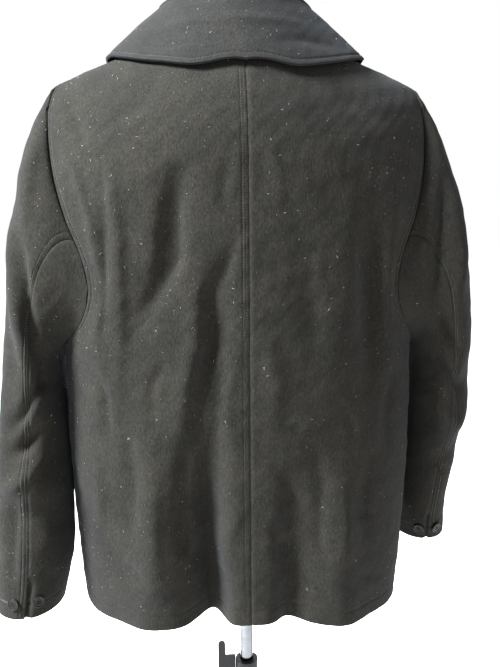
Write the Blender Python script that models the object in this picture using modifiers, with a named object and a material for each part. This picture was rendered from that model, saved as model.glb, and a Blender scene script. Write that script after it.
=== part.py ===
"""Car coat hanging on a limbless dress form, on a stand with a sliding pole.

Metres, +Z up. The coat's front faces -Y and its back +Y, and the wearer's left
is +X. The origin is on the floor, under the middle of the round base plate.
Every cloth piece is a flat grid bent onto a surface that the tables of sections
below give, with the wall added inwards.
"""
import math

import bmesh
import bpy
import numpy as np

# Cloth and seams
CLOTH = 0.0024                  # wall of the wool cloth
COLLAR_CLOTH = 0.0038           # the collar is two layers turned out
SEAM_HALF_GAP = 0.00022         # each piece stops this far short of a seam
COAT_X = 0.006                  # the coat hangs a little off the pole's axis

# Body of the coat: half sections from the hem up to the row where the shoulders
# start to round over. slope is how fast a row drops away from the centre.
SECTION_POWER = 2.3
LEVEL_COLUMNS = ("row", "z_centre", "slope", "half_width", "depth", "edge_x")
BACK_LEVELS = (
    (0.0, 0.7370, 0.05, 0.226, 0.150, 0.226),
    (3.5, 0.8600, 0.03, 0.235, 0.150, 0.235),
    (7.0, 0.9900, 0.04, 0.239, 0.148, 0.239),
    (10.0, 1.1010, 0.08, 0.238, 0.150, 0.238),
    (11.0, 1.1280, 0.13, 0.239, 0.150, 0.227),
    (12.0, 1.1550, 0.18, 0.240, 0.151, 0.211),
    (13.0, 1.1860, 0.23, 0.242, 0.151, 0.199),
    (14.0, 1.2215, 0.28, 0.245, 0.151, 0.194),
    (15.0, 1.2725, 0.35, 0.251, 0.151, 0.201),
    (16.0, 1.3310, 0.42, 0.257, 0.150, 0.217),
)
FRONT_LEVELS = (
    (0.0, 0.7370, 0.05, 0.226, 0.138, 0.226),
    (3.5, 0.8600, 0.03, 0.235, 0.138, 0.235),
    (7.0, 0.9900, 0.04, 0.239, 0.137, 0.239),
    (10.0, 1.1010, 0.08, 0.238, 0.138, 0.238),
    (11.0, 1.1200, 0.11, 0.239, 0.138, 0.229),
    (12.0, 1.1400, 0.15, 0.240, 0.138, 0.218),
    (13.0, 1.1630, 0.21, 0.242, 0.138, 0.210),
    (14.0, 1.1880, 0.28, 0.245, 0.138, 0.206),
    (15.0, 1.2120, 0.35, 0.251, 0.138, 0.206),
    (16.0, 1.2380, 0.42, 0.257, 0.137, 0.211),
)
LOWER_ROWS = 16                 # rows from the hem to the start of the shoulder
SHOULDER_ROWS = 10
BODY_ROWS = LOWER_ROWS + SHOULDER_ROWS
UNDERARM_ROW = 10
RIGHT_HEM_DROP = 0.011          # the coat hangs a little lower on its right
BODY_SPLIT = LOWER_ROWS / BODY_ROWS
ARMHOLE_CLEAR = 0.0021          # the sleeve starts this far beyond the armhole

# Shoulders: a straight shoulder line, and the drop over which back and front
# round over to it.
SHOULDER_PEAK_Z = 1.508
SHOULDER_SLOPE = 0.42
CENTRE_SOFT = 0.036             # rounds the slopes off where left meets right
BACK_DROP = 0.177
FRONT_DROP = 0.270
ARMHOLE_COLUMNS = ("turn_deg", "back_x", "front_x")
ARMHOLE_TURNS = (
    (0.0, 0.217, 0.211),
    (20.0, 0.233, 0.222),
    (50.0, 0.240, 0.234),
    (90.0, 0.228, 0.228),
)
NECK_HALF_WIDTH = 0.085
NECK_BACK = 0.070
NECK_FRONT = 0.105

# Largest folds: a ridge or a valley (negative) running from one height to
# another, with its place across the panel at each end, its half width and height
# columns: x_top, z_top, x_bottom, z_bottom, half_width, height
BACK_FOLDS = (
    (0.170, 1.33, 0.186, 0.98, 0.016, 0.007),
    (0.080, 1.33, 0.120, 1.12, 0.024, -0.008),
    (0.030, 1.24, 0.052, 0.86, 0.022, -0.010),
    (0.058, 1.02, 0.054, 0.45, 0.024, -0.050),
    (0.120, 1.02, 0.135, 0.60, 0.030, 0.012),
    (-0.150, 1.30, -0.158, 0.98, 0.026, -0.009),
    (-0.060, 0.98, -0.048, 0.50, 0.022, -0.020),
    (-0.115, 0.95, -0.125, 0.60, 0.030, 0.012),
    (-0.178, 1.33, -0.190, 1.05, 0.015, 0.006),
)
FRONT_FOLDS = (
    (0.100, 1.25, 0.125, 0.92, 0.024, -0.008),
    (0.090, 0.98, 0.085, 0.60, 0.026, -0.016),
    (0.150, 0.96, 0.160, 0.60, 0.026, 0.010),
    (-0.105, 1.25, -0.120, 0.92, 0.024, -0.007),
    (-0.085, 0.98, -0.090, 0.60, 0.026, -0.014),
    (-0.150, 0.96, -0.160, 0.60, 0.026, 0.010),
)
SIDE_VENT_TOP = 0.880
SIDE_VENT_GAP = 0.006
FRONT_LAP = 0.026               # each front runs this far past the centre line
LAP_RISE = 0.0038               # the left front lies this far out over the right

# Sleeves: outer and inner point of each ring, its centre and half depth along Y,
# and how much of the armhole's own shape the ring keeps
SLEEVE_COLUMNS = ("level", "outer_x", "outer_z", "inner_x", "inner_z",
                  "centre_y", "half_depth", "armhole_part")
LEFT_SLEEVE = (
    (0.000, 0.2290, 1.4220, 0.2390, 1.0860, 0.004, 0.092, 1.00),
    (0.035, 0.2480, 1.4080, 0.2415, 1.0850, 0.004, 0.094, 0.82),
    (0.080, 0.2670, 1.3780, 0.2430, 1.0800, 0.004, 0.096, 0.55),
    (0.140, 0.2830, 1.3300, 0.2440, 1.0720, 0.003, 0.096, 0.27),
    (0.210, 0.2940, 1.2680, 0.2440, 1.0600, 0.002, 0.094, 0.08),
    (0.300, 0.3030, 1.1930, 0.2430, 1.0400, 0.002, 0.091, 0.00),
    (0.420, 0.3120, 1.1030, 0.2430, 1.0060, 0.004, 0.086, 0.00),
    (0.560, 0.3250, 1.0000, 0.2420, 0.9540, 0.008, 0.080, 0.00),
    (0.700, 0.3370, 0.9030, 0.2410, 0.8880, 0.018, 0.074, 0.00),
    (0.850, 0.3430, 0.8110, 0.2430, 0.8080, 0.031, 0.067, 0.00),
    (1.000, 0.3450, 0.7360, 0.2520, 0.7390, 0.042, 0.061, 0.00),
)
RIGHT_SLEEVE = (
    (0.000, 0.2290, 1.4220, 0.2390, 1.0860, 0.004, 0.092, 1.00),
    (0.035, 0.2500, 1.4070, 0.2415, 1.0850, 0.004, 0.094, 0.82),
    (0.080, 0.2710, 1.3760, 0.2430, 1.0800, 0.004, 0.096, 0.55),
    (0.140, 0.2890, 1.3280, 0.2440, 1.0730, 0.002, 0.096, 0.27),
    (0.210, 0.3030, 1.2670, 0.2440, 1.0620, 0.000, 0.094, 0.08),
    (0.300, 0.3150, 1.1930, 0.2440, 1.0440, -0.003, 0.091, 0.00),
    (0.420, 0.3260, 1.1050, 0.2440, 1.0120, -0.006, 0.086, 0.00),
    (0.560, 0.3290, 1.0100, 0.2430, 0.9660, -0.010, 0.079, 0.00),
    (0.700, 0.3210, 0.9240, 0.2410, 0.9060, -0.018, 0.071, 0.00),
    (0.850, 0.3130, 0.8430, 0.2400, 0.8360, -0.030, 0.064, 0.00),
    (1.000, 0.3170, 0.7790, 0.2410, 0.7760, -0.042, 0.059, 0.00),
)
SLEEVE_SEAM_RADIUS = 0.033      # how sharply a sleeve turns at its seams
BACK_SEAM_DEG = 92.0            # round the sleeve from its outer line
FRONT_SEAM_DEG = -128.0
# columns: level, turn_deg, level_half, turn_half_deg, height
LEFT_SLEEVE_FOLDS = (
    (0.30, 105.0, 0.10, 20.0, -0.006),
    (0.52, 40.0, 0.22, 16.0, 0.006),
    (0.57, 92.0, 0.05, 32.0, -0.008),
    (0.66, 100.0, 0.05, 34.0, 0.005),
    (0.74, 85.0, 0.04, 34.0, -0.006),
    (0.56, -95.0, 0.05, 36.0, -0.008),
    (0.66, -80.0, 0.05, 34.0, 0.005),
    (0.30, -110.0, 0.10, 20.0, -0.006),
)
RIGHT_SLEEVE_FOLDS = (
    (0.28, 100.0, 0.12, 18.0, -0.006),
    (0.50, 60.0, 0.05, 34.0, -0.006),
    (0.60, 80.0, 0.05, 36.0, 0.006),
    (0.68, 70.0, 0.04, 32.0, -0.006),
    (0.56, -90.0, 0.05, 36.0, -0.008),
    (0.66, -80.0, 0.05, 34.0, 0.005),
    (0.30, -110.0, 0.10, 20.0, -0.006),
)
SLEEVE_ROWS = 22
CUFF_VENT_LEVEL = 20 / SLEEVE_ROWS
CUFF_TUCK_DEG = 20.0            # the under sleeve runs on beneath the upper one
CUFF_RECEDE_DEG = 3.0
CUFF_TUCK_DEPTH = 0.0050

# Collar: where the fall's edge comes to on the coat, from centre back to the
# point at the front, and the height of its stand
COLLAR_COLUMNS = ("turn_deg", "edge_x", "edge_y", "stand_height", "edge_lift")
COLLAR_EDGE = (
    (0.0, 0.000, 0.121, 0.036, 0.0095),
    (30.0, 0.066, 0.111, 0.036, 0.0095),
    (60.0, 0.130, 0.068, 0.035, 0.0085),
    (90.0, 0.164, 0.012, 0.033, 0.0075),
    (120.0, 0.160, -0.050, 0.028, 0.0070),
    (150.0, 0.126, -0.094, 0.020, 0.0080),
    (176.0, 0.078, -0.115, 0.012, 0.0130),
)
COLLAR_ROLL = 0.0050            # radius of the fold between stand and fall
COLLAR_BULGE = 0.001
COLLAR_SEAM_RISE = 0.0013

# Buttons
BUTTON_RADIUS = 0.0078
BUTTON_THICK = 0.0030
BUTTON_RIM = 0.0014
FRONT_BUTTON_RADIUS = 0.0115
FRONT_BUTTON_ROWS = (1.330, 1.215, 1.100, 0.985)
BUTTON_STANDOFF = 0.0004        # at its middle, so that its rim clears the cloth
CUFF_BUTTON_LEVEL = 0.955
CUFF_BUTTON_TURNS = (74.0, 112.0)
FRONT_BUTTON_ACROSS = 0.06

# Dress form, from its flat underside to the flat top of its neck
# columns: z, half_width, back, front
FORM_RINGS = (
    (0.800, 0.146, 0.088, 0.088),
    (0.815, 0.154, 0.094, 0.094),
    (0.900, 0.166, 0.098, 0.098),
    (1.020, 0.150, 0.092, 0.090),
    (1.120, 0.152, 0.104, 0.100),
    (1.220, 0.166, 0.116, 0.108),
    (1.320, 0.184, 0.114, 0.098),
    (1.380, 0.196, 0.098, 0.084),
    (1.410, 0.200, 0.070, 0.058),
)
FORM_SHOULDER_CLEAR = 0.0012    # between the form's shoulder line and the cloth
FORM_SHOULDER_STEPS = (1.428, 1.440, 1.452, 1.462)
FORM_RIDGE_BACK = 0.058          # the shoulder ridge is narrower than the coat's
FORM_RIDGE_FRONT = 0.046
FORM_NECK_RADIUS = 0.050
FORM_NECK_TOP = 1.520

# Stand
TOUCH_GAP = 0.0003
POLE_RADIUS = 0.0095
POLE_BOTTOM = 0.330
TUBE_RADIUS = 0.0125
TUBE_BORE = 0.0102
COLLAR_CLAMP_RADIUS = 0.0170
COLLAR_CLAMP_BOTTOM = 0.530
COLLAR_CLAMP_TOP = 0.588
BASE_RADIUS = 0.165
BASE_THICK = 0.008
HANDLE_ARM = 0.026
HANDLE_WIDTH = 0.025
HANDLE_THICK = 0.004
HANDLE_TAB_WIDTH = 0.011
HANDLE_TAB_HEIGHT = 0.024
HANDLE_Z = 0.582                # height of its turning axis

MATERIALS = {
    "wool": ((0.050, 0.051, 0.045), 0.95, 0.0),
    "collar_wool": ((0.046, 0.047, 0.043), 0.95, 0.0),
    "button": ((0.012, 0.011, 0.010), 0.22, 0.0),
    "form_cover": ((0.62, 0.58, 0.50), 0.85, 0.0),
    "chrome": ((0.72, 0.73, 0.74), 0.12, 1.0),
    "black_steel": ((0.020, 0.020, 0.021), 0.42, 0.6),
}


def table_curve(table, columns, key, name, at):
    """Smooth curve through one named column of a table, against its key column."""
    xs = np.array([row[columns.index(key)] for row in table])
    ys = np.array([row[columns.index(name)] for row in table])
    at = np.clip(at, xs[0], xs[-1])
    slopes = np.gradient(ys, xs)
    span = np.clip(np.searchsorted(xs, at, side="right") - 1, 0, len(xs) - 2)
    width = xs[span + 1] - xs[span]
    t = (at - xs[span]) / width
    rise_0 = slopes[span] * width
    rise_1 = slopes[span + 1] * width
    return ((2 * t**3 - 3 * t**2 + 1) * ys[span] + (t**3 - 2 * t**2 + t) * rise_0
            + (3 * t**2 - 2 * t**3) * ys[span + 1] + (t**3 - t**2) * rise_1)


def smooth_step(low, high, at):
    """0 below low, 1 above high, with an even start and finish between."""
    t = np.clip((at - low) / (high - low), 0.0, 1.0)
    return t * t * (3 - 2 * t)


def signed_power(value, power):
    return np.sign(value) * np.abs(value) ** power


def section_depth(x, half_width, depth):
    """Depth of a rounded-square half section at x."""
    inside = np.clip(1 - np.abs(x / half_width) ** SECTION_POWER, 0.0, 1.0)
    return depth * inside ** (1 / SECTION_POWER)


def off_centre(x):
    """Distance from the centre line, with its corner there rounded off."""
    return np.hypot(x, CENTRE_SOFT) - CENTRE_SOFT


def shoulder_line(x):
    """Height of the shoulder line above x, carried on across the neck."""
    return SHOULDER_PEAK_Z - SHOULDER_SLOPE * off_centre(x)


def neck_turn(x, level_depth, front):
    """How far round the shoulder (in radians) the neck seam lies at x.

    The neck seam is a parabola in plan. Beyond it the row runs right up
    to the shoulder line, a quarter turn.
    """
    reach = NECK_FRONT if front else NECK_BACK
    inside = np.clip(1 - (x / NECK_HALF_WIDTH) ** 2, 0.0, 1.0)
    return np.arccos(np.clip(reach * inside / level_depth, 0.0, 1.0))


def fold_height(x, z, folds):
    """Sum of the ridges and valleys in a fold table at (x, z)."""
    total = np.zeros_like(x)
    for x_top, z_top, x_bottom, z_bottom, half_width, height in folds:
        down = (z_top - z) / (z_top - z_bottom)
        middle = x_top + (x_bottom - x_top) * down
        along = np.sin(np.pi * np.clip(down, 0.0, 1.0)) ** 1.2
        total += height * along * np.exp(-((x - middle) / half_width) ** 2)
    return total


def body_surface(across, up, front, side, start_x=0.0):
    """Outer surface of one half of the coat's body.

    across runs from the centre (or start_x past it) to the side seam or the
    armhole, up from the hem to the neck and shoulder seam. side is +1 for the
    wearer's left. front gives the front's levels and turns the depth to -Y.
    """
    levels = FRONT_LEVELS if front else BACK_LEVELS
    drop = FRONT_DROP if front else BACK_DROP
    split = BODY_SPLIT
    row = LOWER_ROWS * np.clip(up / split, 0.0, 1.0)
    over = np.clip((up - split) / (1 - split), 0.0, 1.0)

    def column(name):
        return table_curve(levels, LEVEL_COLUMNS, "row", name, row)

    half_width = column("half_width")
    ratio = np.clip(column("edge_x") / half_width, 0.0, 1.0)
    end = np.arcsin(ratio ** (SECTION_POWER / 2))
    vent = SIDE_VENT_GAP * (1 - smooth_step(SIDE_VENT_TOP - 0.12, SIDE_VENT_TOP,
                                            column("z_centre")))
    end = end - (SEAM_HALF_GAP + vent) / column("depth")
    begin = np.arcsin(signed_power(start_x / half_width, SECTION_POWER / 2))
    angle = begin + (end - begin) * across
    x = half_width * signed_power(np.sin(angle), 2 / SECTION_POWER)

    # the shoulder rows, where the surface turns over towards the shoulder line
    edge_name = "front_x" if front else "back_x"
    edge_at = [table_curve(ARMHOLE_TURNS, ARMHOLE_COLUMNS, "turn_deg", edge_name, turn)
               for turn in (np.zeros_like(over), 90 * over)]
    x = x * np.where(over > 0, edge_at[1] / edge_at[0], 1.0)
    y = section_depth(x, half_width, column("depth"))
    turn = over * neck_turn(x, y, front)
    turn = turn - over * SEAM_HALF_GAP / 0.1
    z_level = column("z_centre") - column("slope") * off_centre(x)
    if side < 0:
        z_level = z_level - (RIGHT_HEM_DROP * smooth_step(0.02, 0.16, x)
                             * (1 - np.clip(row / UNDERARM_ROW, 0.0, 1.0)))
    z = np.where(over > 0, shoulder_line(x) - drop * (1 - np.sin(turn)), z_level)
    y = y * np.cos(turn)

    # folds push the surface out or in, along the section's own outward side
    folds = FRONT_FOLDS if front else BACK_FOLDS
    push = fold_height(side * x, z, folds) * (1 - smooth_step(0.78, 0.97, across))
    push = push * smooth_step(0.0, 0.10, across)
    if front and start_x < 0 and side > 0:
        push = push + LAP_RISE * (1 - smooth_step(FRONT_LAP + 0.018, FRONT_LAP + 0.045, x))
    out_x = x / half_width ** 2
    out_y = np.maximum(y, 0.02) / column("depth") ** 2
    length = np.hypot(out_x, out_y)
    x = x + push * np.cos(turn) * out_x / length
    y = y + push * np.cos(turn) * out_y / length
    z = z + push * np.sin(turn)
    return np.stack([side * x, -y if front else y, z], axis=-1)


def armhole_edge(front, side, down):
    """Point on the armhole, down running from the shoulder tip to the underarm."""
    up = np.arange(UNDERARM_ROW, BODY_ROWS + 1) / BODY_ROWS
    points = body_surface(np.ones_like(up), up[::-1], front, side)
    outward = points - body_surface(np.full_like(up, 0.99), up[::-1], front, side)
    outward = outward / np.linalg.norm(outward, axis=1)[:, None]
    points = points + ARMHOLE_CLEAR * outward
    steps = np.linalg.norm(np.diff(points, axis=0), axis=1)
    run = np.concatenate([[0.0], np.cumsum(steps)])
    run = run / run[-1]
    return np.stack([np.interp(down, run, points[:, axis]) for axis in range(3)], axis=-1)


def sleeve_surface(turn_deg, level, side, rings, folds, tuck=None):
    """Outer surface of a sleeve; turn_deg runs round it from its outer line.

    Positive turns go by the back, negative ones by the front, and 180 is the
    underarm line. The first ring is the armhole and the last one the cuff.
    """
    def column(name):
        return table_curve(rings, SLEEVE_COLUMNS, "level", name, level)

    turn = np.radians(turn_deg)
    outer = np.stack([column("outer_x"), column("outer_z")])
    inner = np.stack([column("inner_x"), column("inner_z")])
    middle = (outer + inner) / 2
    half = (outer - inner) / 2
    ring_x = middle[0] + half[0] * np.cos(turn)
    ring_z = middle[1] + half[1] * np.cos(turn)
    ring_y = column("centre_y") + column("half_depth") * np.sin(turn)

    down = np.abs(turn_deg) / 180.0
    back = armhole_edge(False, 1.0, down)
    fore = armhole_edge(True, 1.0, down)
    hole = np.where((turn_deg >= 0)[:, None], back, fore)
    part = column("armhole_part")
    x = part * hole[:, 0] + (1 - part) * ring_x
    y = part * hole[:, 1] + (1 - part) * ring_y
    z = part * hole[:, 2] + (1 - part) * ring_z

    push = np.zeros_like(x)
    for at, at_turn, level_half, turn_half, height in folds:
        away = ((level - at) / level_half) ** 2 + ((turn_deg - at_turn) / turn_half) ** 2
        push += height * np.exp(-away)
    push = push * smooth_step(0.02, 0.15, level)
    if tuck is not None:
        push = push - tuck
    x = x + push * np.cos(turn)
    y = y + push * np.sin(turn)
    return np.stack([side * x, y, z], axis=-1)


def finish(obj, name, material):
    """Name an object and its mesh, and give it its own copy of a material."""
    obj.name = name
    obj.data.name = name
    colour, roughness, metallic = MATERIALS[material]
    made = bpy.data.materials.new(name + "_" + material)
    made.use_nodes = True
    surface = made.node_tree.nodes["Principled BSDF"]
    surface.inputs["Base Color"].default_value = (*colour, 1.0)
    surface.inputs["Roughness"].default_value = roughness
    surface.inputs["Metallic"].default_value = metallic
    obj.data.materials.clear()
    obj.data.materials.append(made)
    return obj


def surface_normals(surface, across, up):
    """Unit normals of a surface, from its own slopes across and up."""
    step = 1e-3
    low = surface(np.maximum(across - step, 0.0), up)
    high = surface(np.minimum(across + step, 1.0), up)
    below = surface(across, np.maximum(up - step, 0.0))
    above = surface(across, np.minimum(up + step, 1.0))
    normal = np.cross(high - low, above - below)
    return normal / np.linalg.norm(normal, axis=1)[:, None]


def bent_panel(name, columns, rows, surface, wall, material, side=1):
    """A flat slab of cloth, one grid thick, bent onto surface(across, up).

    The slab is a grid extruded once. Its top face takes the surface's points and
    its lower face lies the wall's thickness inside them. side is -1 where the
    surface's across and up run left-handed.
    """
    bpy.ops.mesh.primitive_grid_add(x_subdivisions=columns, y_subdivisions=rows, size=1.0)
    obj = bpy.context.object
    slab = bmesh.new()
    slab.from_mesh(obj.data)
    lower = bmesh.ops.extrude_face_region(slab, geom=slab.faces[:], use_keep_orig=True)
    below = [item for item in lower["geom"] if isinstance(item, bmesh.types.BMVert)]
    bmesh.ops.translate(slab, verts=below, vec=(0.0, 0.0, -1.0))
    flat = np.array([vertex.co[:] for vertex in slab.verts])
    across = np.clip(flat[:, 0] + 0.5, 0.0, 1.0)
    up = np.clip(flat[:, 1] + 0.5, 0.0, 1.0)
    inwards = np.where(flat[:, 2] < -0.5, wall, 0.0)[:, None]
    points = surface(across, up) - inwards * side * surface_normals(surface, across, up)
    points[:, 0] += COAT_X
    for vertex, point in zip(slab.verts, points):
        vertex.co = point
    bmesh.ops.recalc_face_normals(slab, faces=slab.faces[:])
    if slab.calc_volume(signed=True) < 0:
        bmesh.ops.reverse_faces(slab, faces=slab.faces[:])
    slab.to_mesh(obj.data)
    slab.free()
    return finish(obj, name, material)


def make_body():
    """Two backs and two fronts, the left front lapped over the right one."""
    for side, word in ((1, "left"), (-1, "right")):
        gap = SEAM_HALF_GAP
        bent_panel("back_" + word, 20, BODY_ROWS,
                   lambda a, u, s=side: body_surface(a, u, False, s, gap),
                   CLOTH, "wool", side=-side)
        bent_panel("front_" + word, 15, BODY_ROWS,
                   lambda a, u, s=side: body_surface(a, u, True, s, -FRONT_LAP),
                   CLOTH, "wool", side=side)


def make_sleeve(side, word, rings, folds):
    """Upper sleeve and under sleeve, with the cuff's vent at the back seam."""
    seam_deg = math.degrees(SEAM_HALF_GAP / SLEEVE_SEAM_RADIUS)

    def upper(across, along):
        start = FRONT_SEAM_DEG + seam_deg
        end = BACK_SEAM_DEG - seam_deg
        return sleeve_surface(start + (end - start) * across, along, side, rings, folds)

    def under(across, along):
        open_part = smooth_step(CUFF_VENT_LEVEL, CUFF_VENT_LEVEL + 1 / SLEEVE_ROWS, along)
        sunk_part = smooth_step(CUFF_VENT_LEVEL - 1 / SLEEVE_ROWS, CUFF_VENT_LEVEL, along)
        recede = CUFF_RECEDE_DEG * sunk_part * (1 - open_part)
        start = BACK_SEAM_DEG + seam_deg + recede - open_part * CUFF_TUCK_DEG
        end = 360 + FRONT_SEAM_DEG - seam_deg
        turn = start + (end - start) * across
        near = 1 - smooth_step(BACK_SEAM_DEG + 2, BACK_SEAM_DEG + 12, turn)
        tuck = CUFF_TUCK_DEPTH * sunk_part * near
        turn = np.where(turn > 180, turn - 360, turn)
        return sleeve_surface(turn, along, side, rings, folds, tuck)

    bent_panel("upper_sleeve_" + word, 13, SLEEVE_ROWS, upper, CLOTH, "wool", side=-side)
    bent_panel("under_sleeve_" + word, 11, SLEEVE_ROWS, under, CLOTH, "wool", side=-side)


def surface_at(x, y):
    """Point on the coat's shoulder surface above (x, y), and its outward normal."""
    def height(px, py):
        front = py < 0
        table = FRONT_LEVELS if front else BACK_LEVELS
        depth = section_depth(px, table[-1][3], table[-1][4])
        drop = FRONT_DROP if front else BACK_DROP
        lean = np.clip(np.abs(py) / depth, 0.0, 0.999)
        return shoulder_line(px) - drop * (1 - np.sqrt(1 - lean ** 2))
    small = 0.002
    z = height(x, y)
    rise_x = (height(x + small, y) - height(x - small, y)) / (2 * small)
    rise_y = (height(x, y + small) - height(x, y - small)) / (2 * small)
    normal = np.array([-rise_x, -rise_y, 1.0])
    return np.array([x, y, z]), normal / np.linalg.norm(normal)


def collar_surface(across, up):
    """Collar from the neck seam up its stand, over the roll and down its fall."""
    turn_deg = (across - 0.5) * 2 * COLLAR_EDGE[-1][0]
    side = np.sign(turn_deg)
    turn = np.abs(turn_deg)

    def column(name):
        return table_curve(COLLAR_EDGE, COLLAR_COLUMNS, "turn_deg", name, turn)

    edge = []
    seam = []
    for x, y, angle in zip(column("edge_x"), column("edge_y"), np.radians(turn)):
        point, normal = surface_at(x, y)
        edge.append((point, normal))
        reach = NECK_BACK if angle < math.pi / 2 else NECK_FRONT
        neck_x = NECK_HALF_WIDTH * math.sin(angle)
        seam.append(surface_at(neck_x, reach * math.cos(angle) * abs(math.cos(angle)))[0])
    lift = column("edge_lift")[:, None]
    edge_point = np.array([e[0] for e in edge]) + lift * np.array([e[1] for e in edge])
    over_lap = LAP_RISE * smooth_step(115.0, 145.0, turn)
    seam_point = np.array(seam)
    seam_point[:, 2] += COLLAR_SEAM_RISE + 1.4 * over_lap

    outward = edge_point - seam_point
    outward[:, 2] = 0
    outward = outward / np.linalg.norm(outward, axis=1)[:, None]
    stand = column("stand_height")[:, None]
    top = seam_point + np.array([0, 0, 1.0]) * stand + outward * 0.004
    roll_end = top + outward * 2 * COLLAR_ROLL
    fall = np.clip((up - 0.45) / 0.55, 0.0, 1.0)[:, None]
    roll = np.clip((up - 0.25) / 0.20, 0.0, 1.0)[:, None]
    rise = np.clip(up / 0.25, 0.0, 1.0)[:, None]
    arc = np.pi * (1 - roll)
    on_stand = seam_point + (top - seam_point) * rise
    on_roll = top + outward * COLLAR_ROLL * (1 + np.cos(arc))
    on_roll = on_roll + np.array([0, 0, 1.0]) * COLLAR_ROLL * np.sin(arc)
    bulge = COLLAR_BULGE * np.sin(np.pi * fall)
    on_fall = roll_end + (edge_point - roll_end) * fall + (outward + np.array([0, 0, 1.0])) * bulge
    points = np.where(up[:, None] <= 0.25, on_stand,
                      np.where(up[:, None] <= 0.45, on_roll, on_fall))
    points[:, 0] = points[:, 0] * np.where(side == 0, 1.0, side)
    return points


def make_collar():
    bent_panel("collar", 28, 11, collar_surface, COLLAR_CLOTH, "collar_wool")


def add_button(name, centre, normal, radius):
    """A turned button: a flat disc with a raised rim, facing along its normal."""
    bpy.ops.mesh.primitive_cylinder_add(vertices=20, radius=radius, depth=BUTTON_THICK)
    obj = bpy.context.object
    shape = bmesh.new()
    shape.from_mesh(obj.data)
    top = [face for face in shape.faces if face.normal.z > 0.9]
    bmesh.ops.inset_region(shape, faces=top, thickness=BUTTON_RIM)
    inner = [face for face in shape.faces if face.normal.z > 0.9 and len(face.verts) > 4]
    bmesh.ops.translate(shape, verts=inner[0].verts, vec=(0, 0, -0.0008))
    shape.to_mesh(obj.data)
    shape.free()
    direction = np.asarray(normal) / np.linalg.norm(normal)
    place = np.asarray(centre) + direction * (BUTTON_STANDOFF + BUTTON_THICK / 2)
    obj.location = tuple(place + np.array([COAT_X, 0.0, 0.0]))
    tilt = math.acos(max(-1.0, min(1.0, direction[2])))
    obj.rotation_euler = (0.0, tilt, math.atan2(direction[1], direction[0]))
    return finish(obj, name, "button")


def surface_normal(surface, across, up, inside):
    """Point and outward normal of a surface, found from its two slopes."""
    step = 0.01
    def at(a, u):
        return surface(np.array([a]), np.array([u]))[0]
    point = at(across, up)
    normal = np.cross(at(across + step, up) - at(across - step, up),
                      at(across, up + step) - at(across, up - step))
    normal = normal / np.linalg.norm(normal)
    if np.dot(normal, point - inside) < 0:
        normal = -normal
    return point, normal


def make_buttons():
    """Two buttons on each cuff beside the vent, and a plain row down the front."""
    for side, word, rings, folds in ((1, "left", LEFT_SLEEVE, LEFT_SLEEVE_FOLDS),
                                     (-1, "right", RIGHT_SLEEVE, RIGHT_SLEEVE_FOLDS)):
        middle = np.array([side * 0.30, rings[-1][5], 0.75])
        for place, turn in (("outer", CUFF_BUTTON_TURNS[0]), ("inner", CUFF_BUTTON_TURNS[1])):
            point, normal = surface_normal(
                lambda t, v, s=side, r=rings, f=folds: sleeve_surface(t * 180, v, s, r, f),
                turn / 180.0, CUFF_BUTTON_LEVEL, middle)
            add_button("cuff_button_%s_%s" % (word, place), point, normal, BUTTON_RADIUS)
    ups = np.linspace(0.05, 0.95, 400)
    line = body_surface(np.full_like(ups, FRONT_BUTTON_ACROSS), ups, True, 1, -FRONT_LAP)
    for row, height in enumerate(FRONT_BUTTON_ROWS):
        up = float(np.interp(height, line[:, 2], ups))
        point, normal = surface_normal(
            lambda a, u: body_surface(a, u, True, 1, -FRONT_LAP),
            FRONT_BUTTON_ACROSS, up, np.array([0.0, 0.0, height]))
        add_button("front_button_%d" % (row + 1), point, normal, FRONT_BUTTON_RADIUS)


def make_form():
    """Limbless dress form whose shoulder line lies just under the coat's."""
    rings = [list(row) for row in FORM_RINGS]
    for z in FORM_SHOULDER_STEPS:
        drop = (SHOULDER_PEAK_Z - CLOTH - FORM_SHOULDER_CLEAR - z) / SHOULDER_SLOPE
        reach = math.sqrt((drop + CENTRE_SOFT) ** 2 - CENTRE_SOFT ** 2)
        rings.append([z, reach, FORM_RIDGE_BACK, FORM_RIDGE_FRONT])
    rings.append([1.480, FORM_NECK_RADIUS + 0.006, FORM_NECK_RADIUS, FORM_NECK_RADIUS])
    rings.append([FORM_NECK_TOP, FORM_NECK_RADIUS, FORM_NECK_RADIUS, FORM_NECK_RADIUS])
    around = 28
    bpy.ops.mesh.primitive_cylinder_add(vertices=around, radius=1.0, depth=1.0)
    obj = bpy.context.object
    shape = bmesh.new()
    shape.from_mesh(obj.data)
    upright = [edge for edge in shape.edges
               if abs(edge.verts[0].co.z - edge.verts[1].co.z) > 0.5]
    bmesh.ops.subdivide_edges(shape, edges=upright, cuts=len(rings) - 2, use_grid_fill=True)
    for vertex in shape.verts:
        row = round((vertex.co.z + 0.5) * (len(rings) - 1))
        z, half_width, back, front = rings[row]
        depth = back if vertex.co.y > 0 else front
        vertex.co.x = vertex.co.x * half_width + COAT_X
        vertex.co.y = vertex.co.y * depth
        vertex.co.z = z
    shape.to_mesh(obj.data)
    shape.free()
    return finish(obj, "dress_form", "form_cover")


def add_rod(name, radius, bottom, top, material, sides=32):
    bpy.ops.mesh.primitive_cylinder_add(vertices=sides, radius=radius, depth=top - bottom,
                                        location=(0, 0, (top + bottom) / 2))
    return finish(bpy.context.object, name, material)


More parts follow.
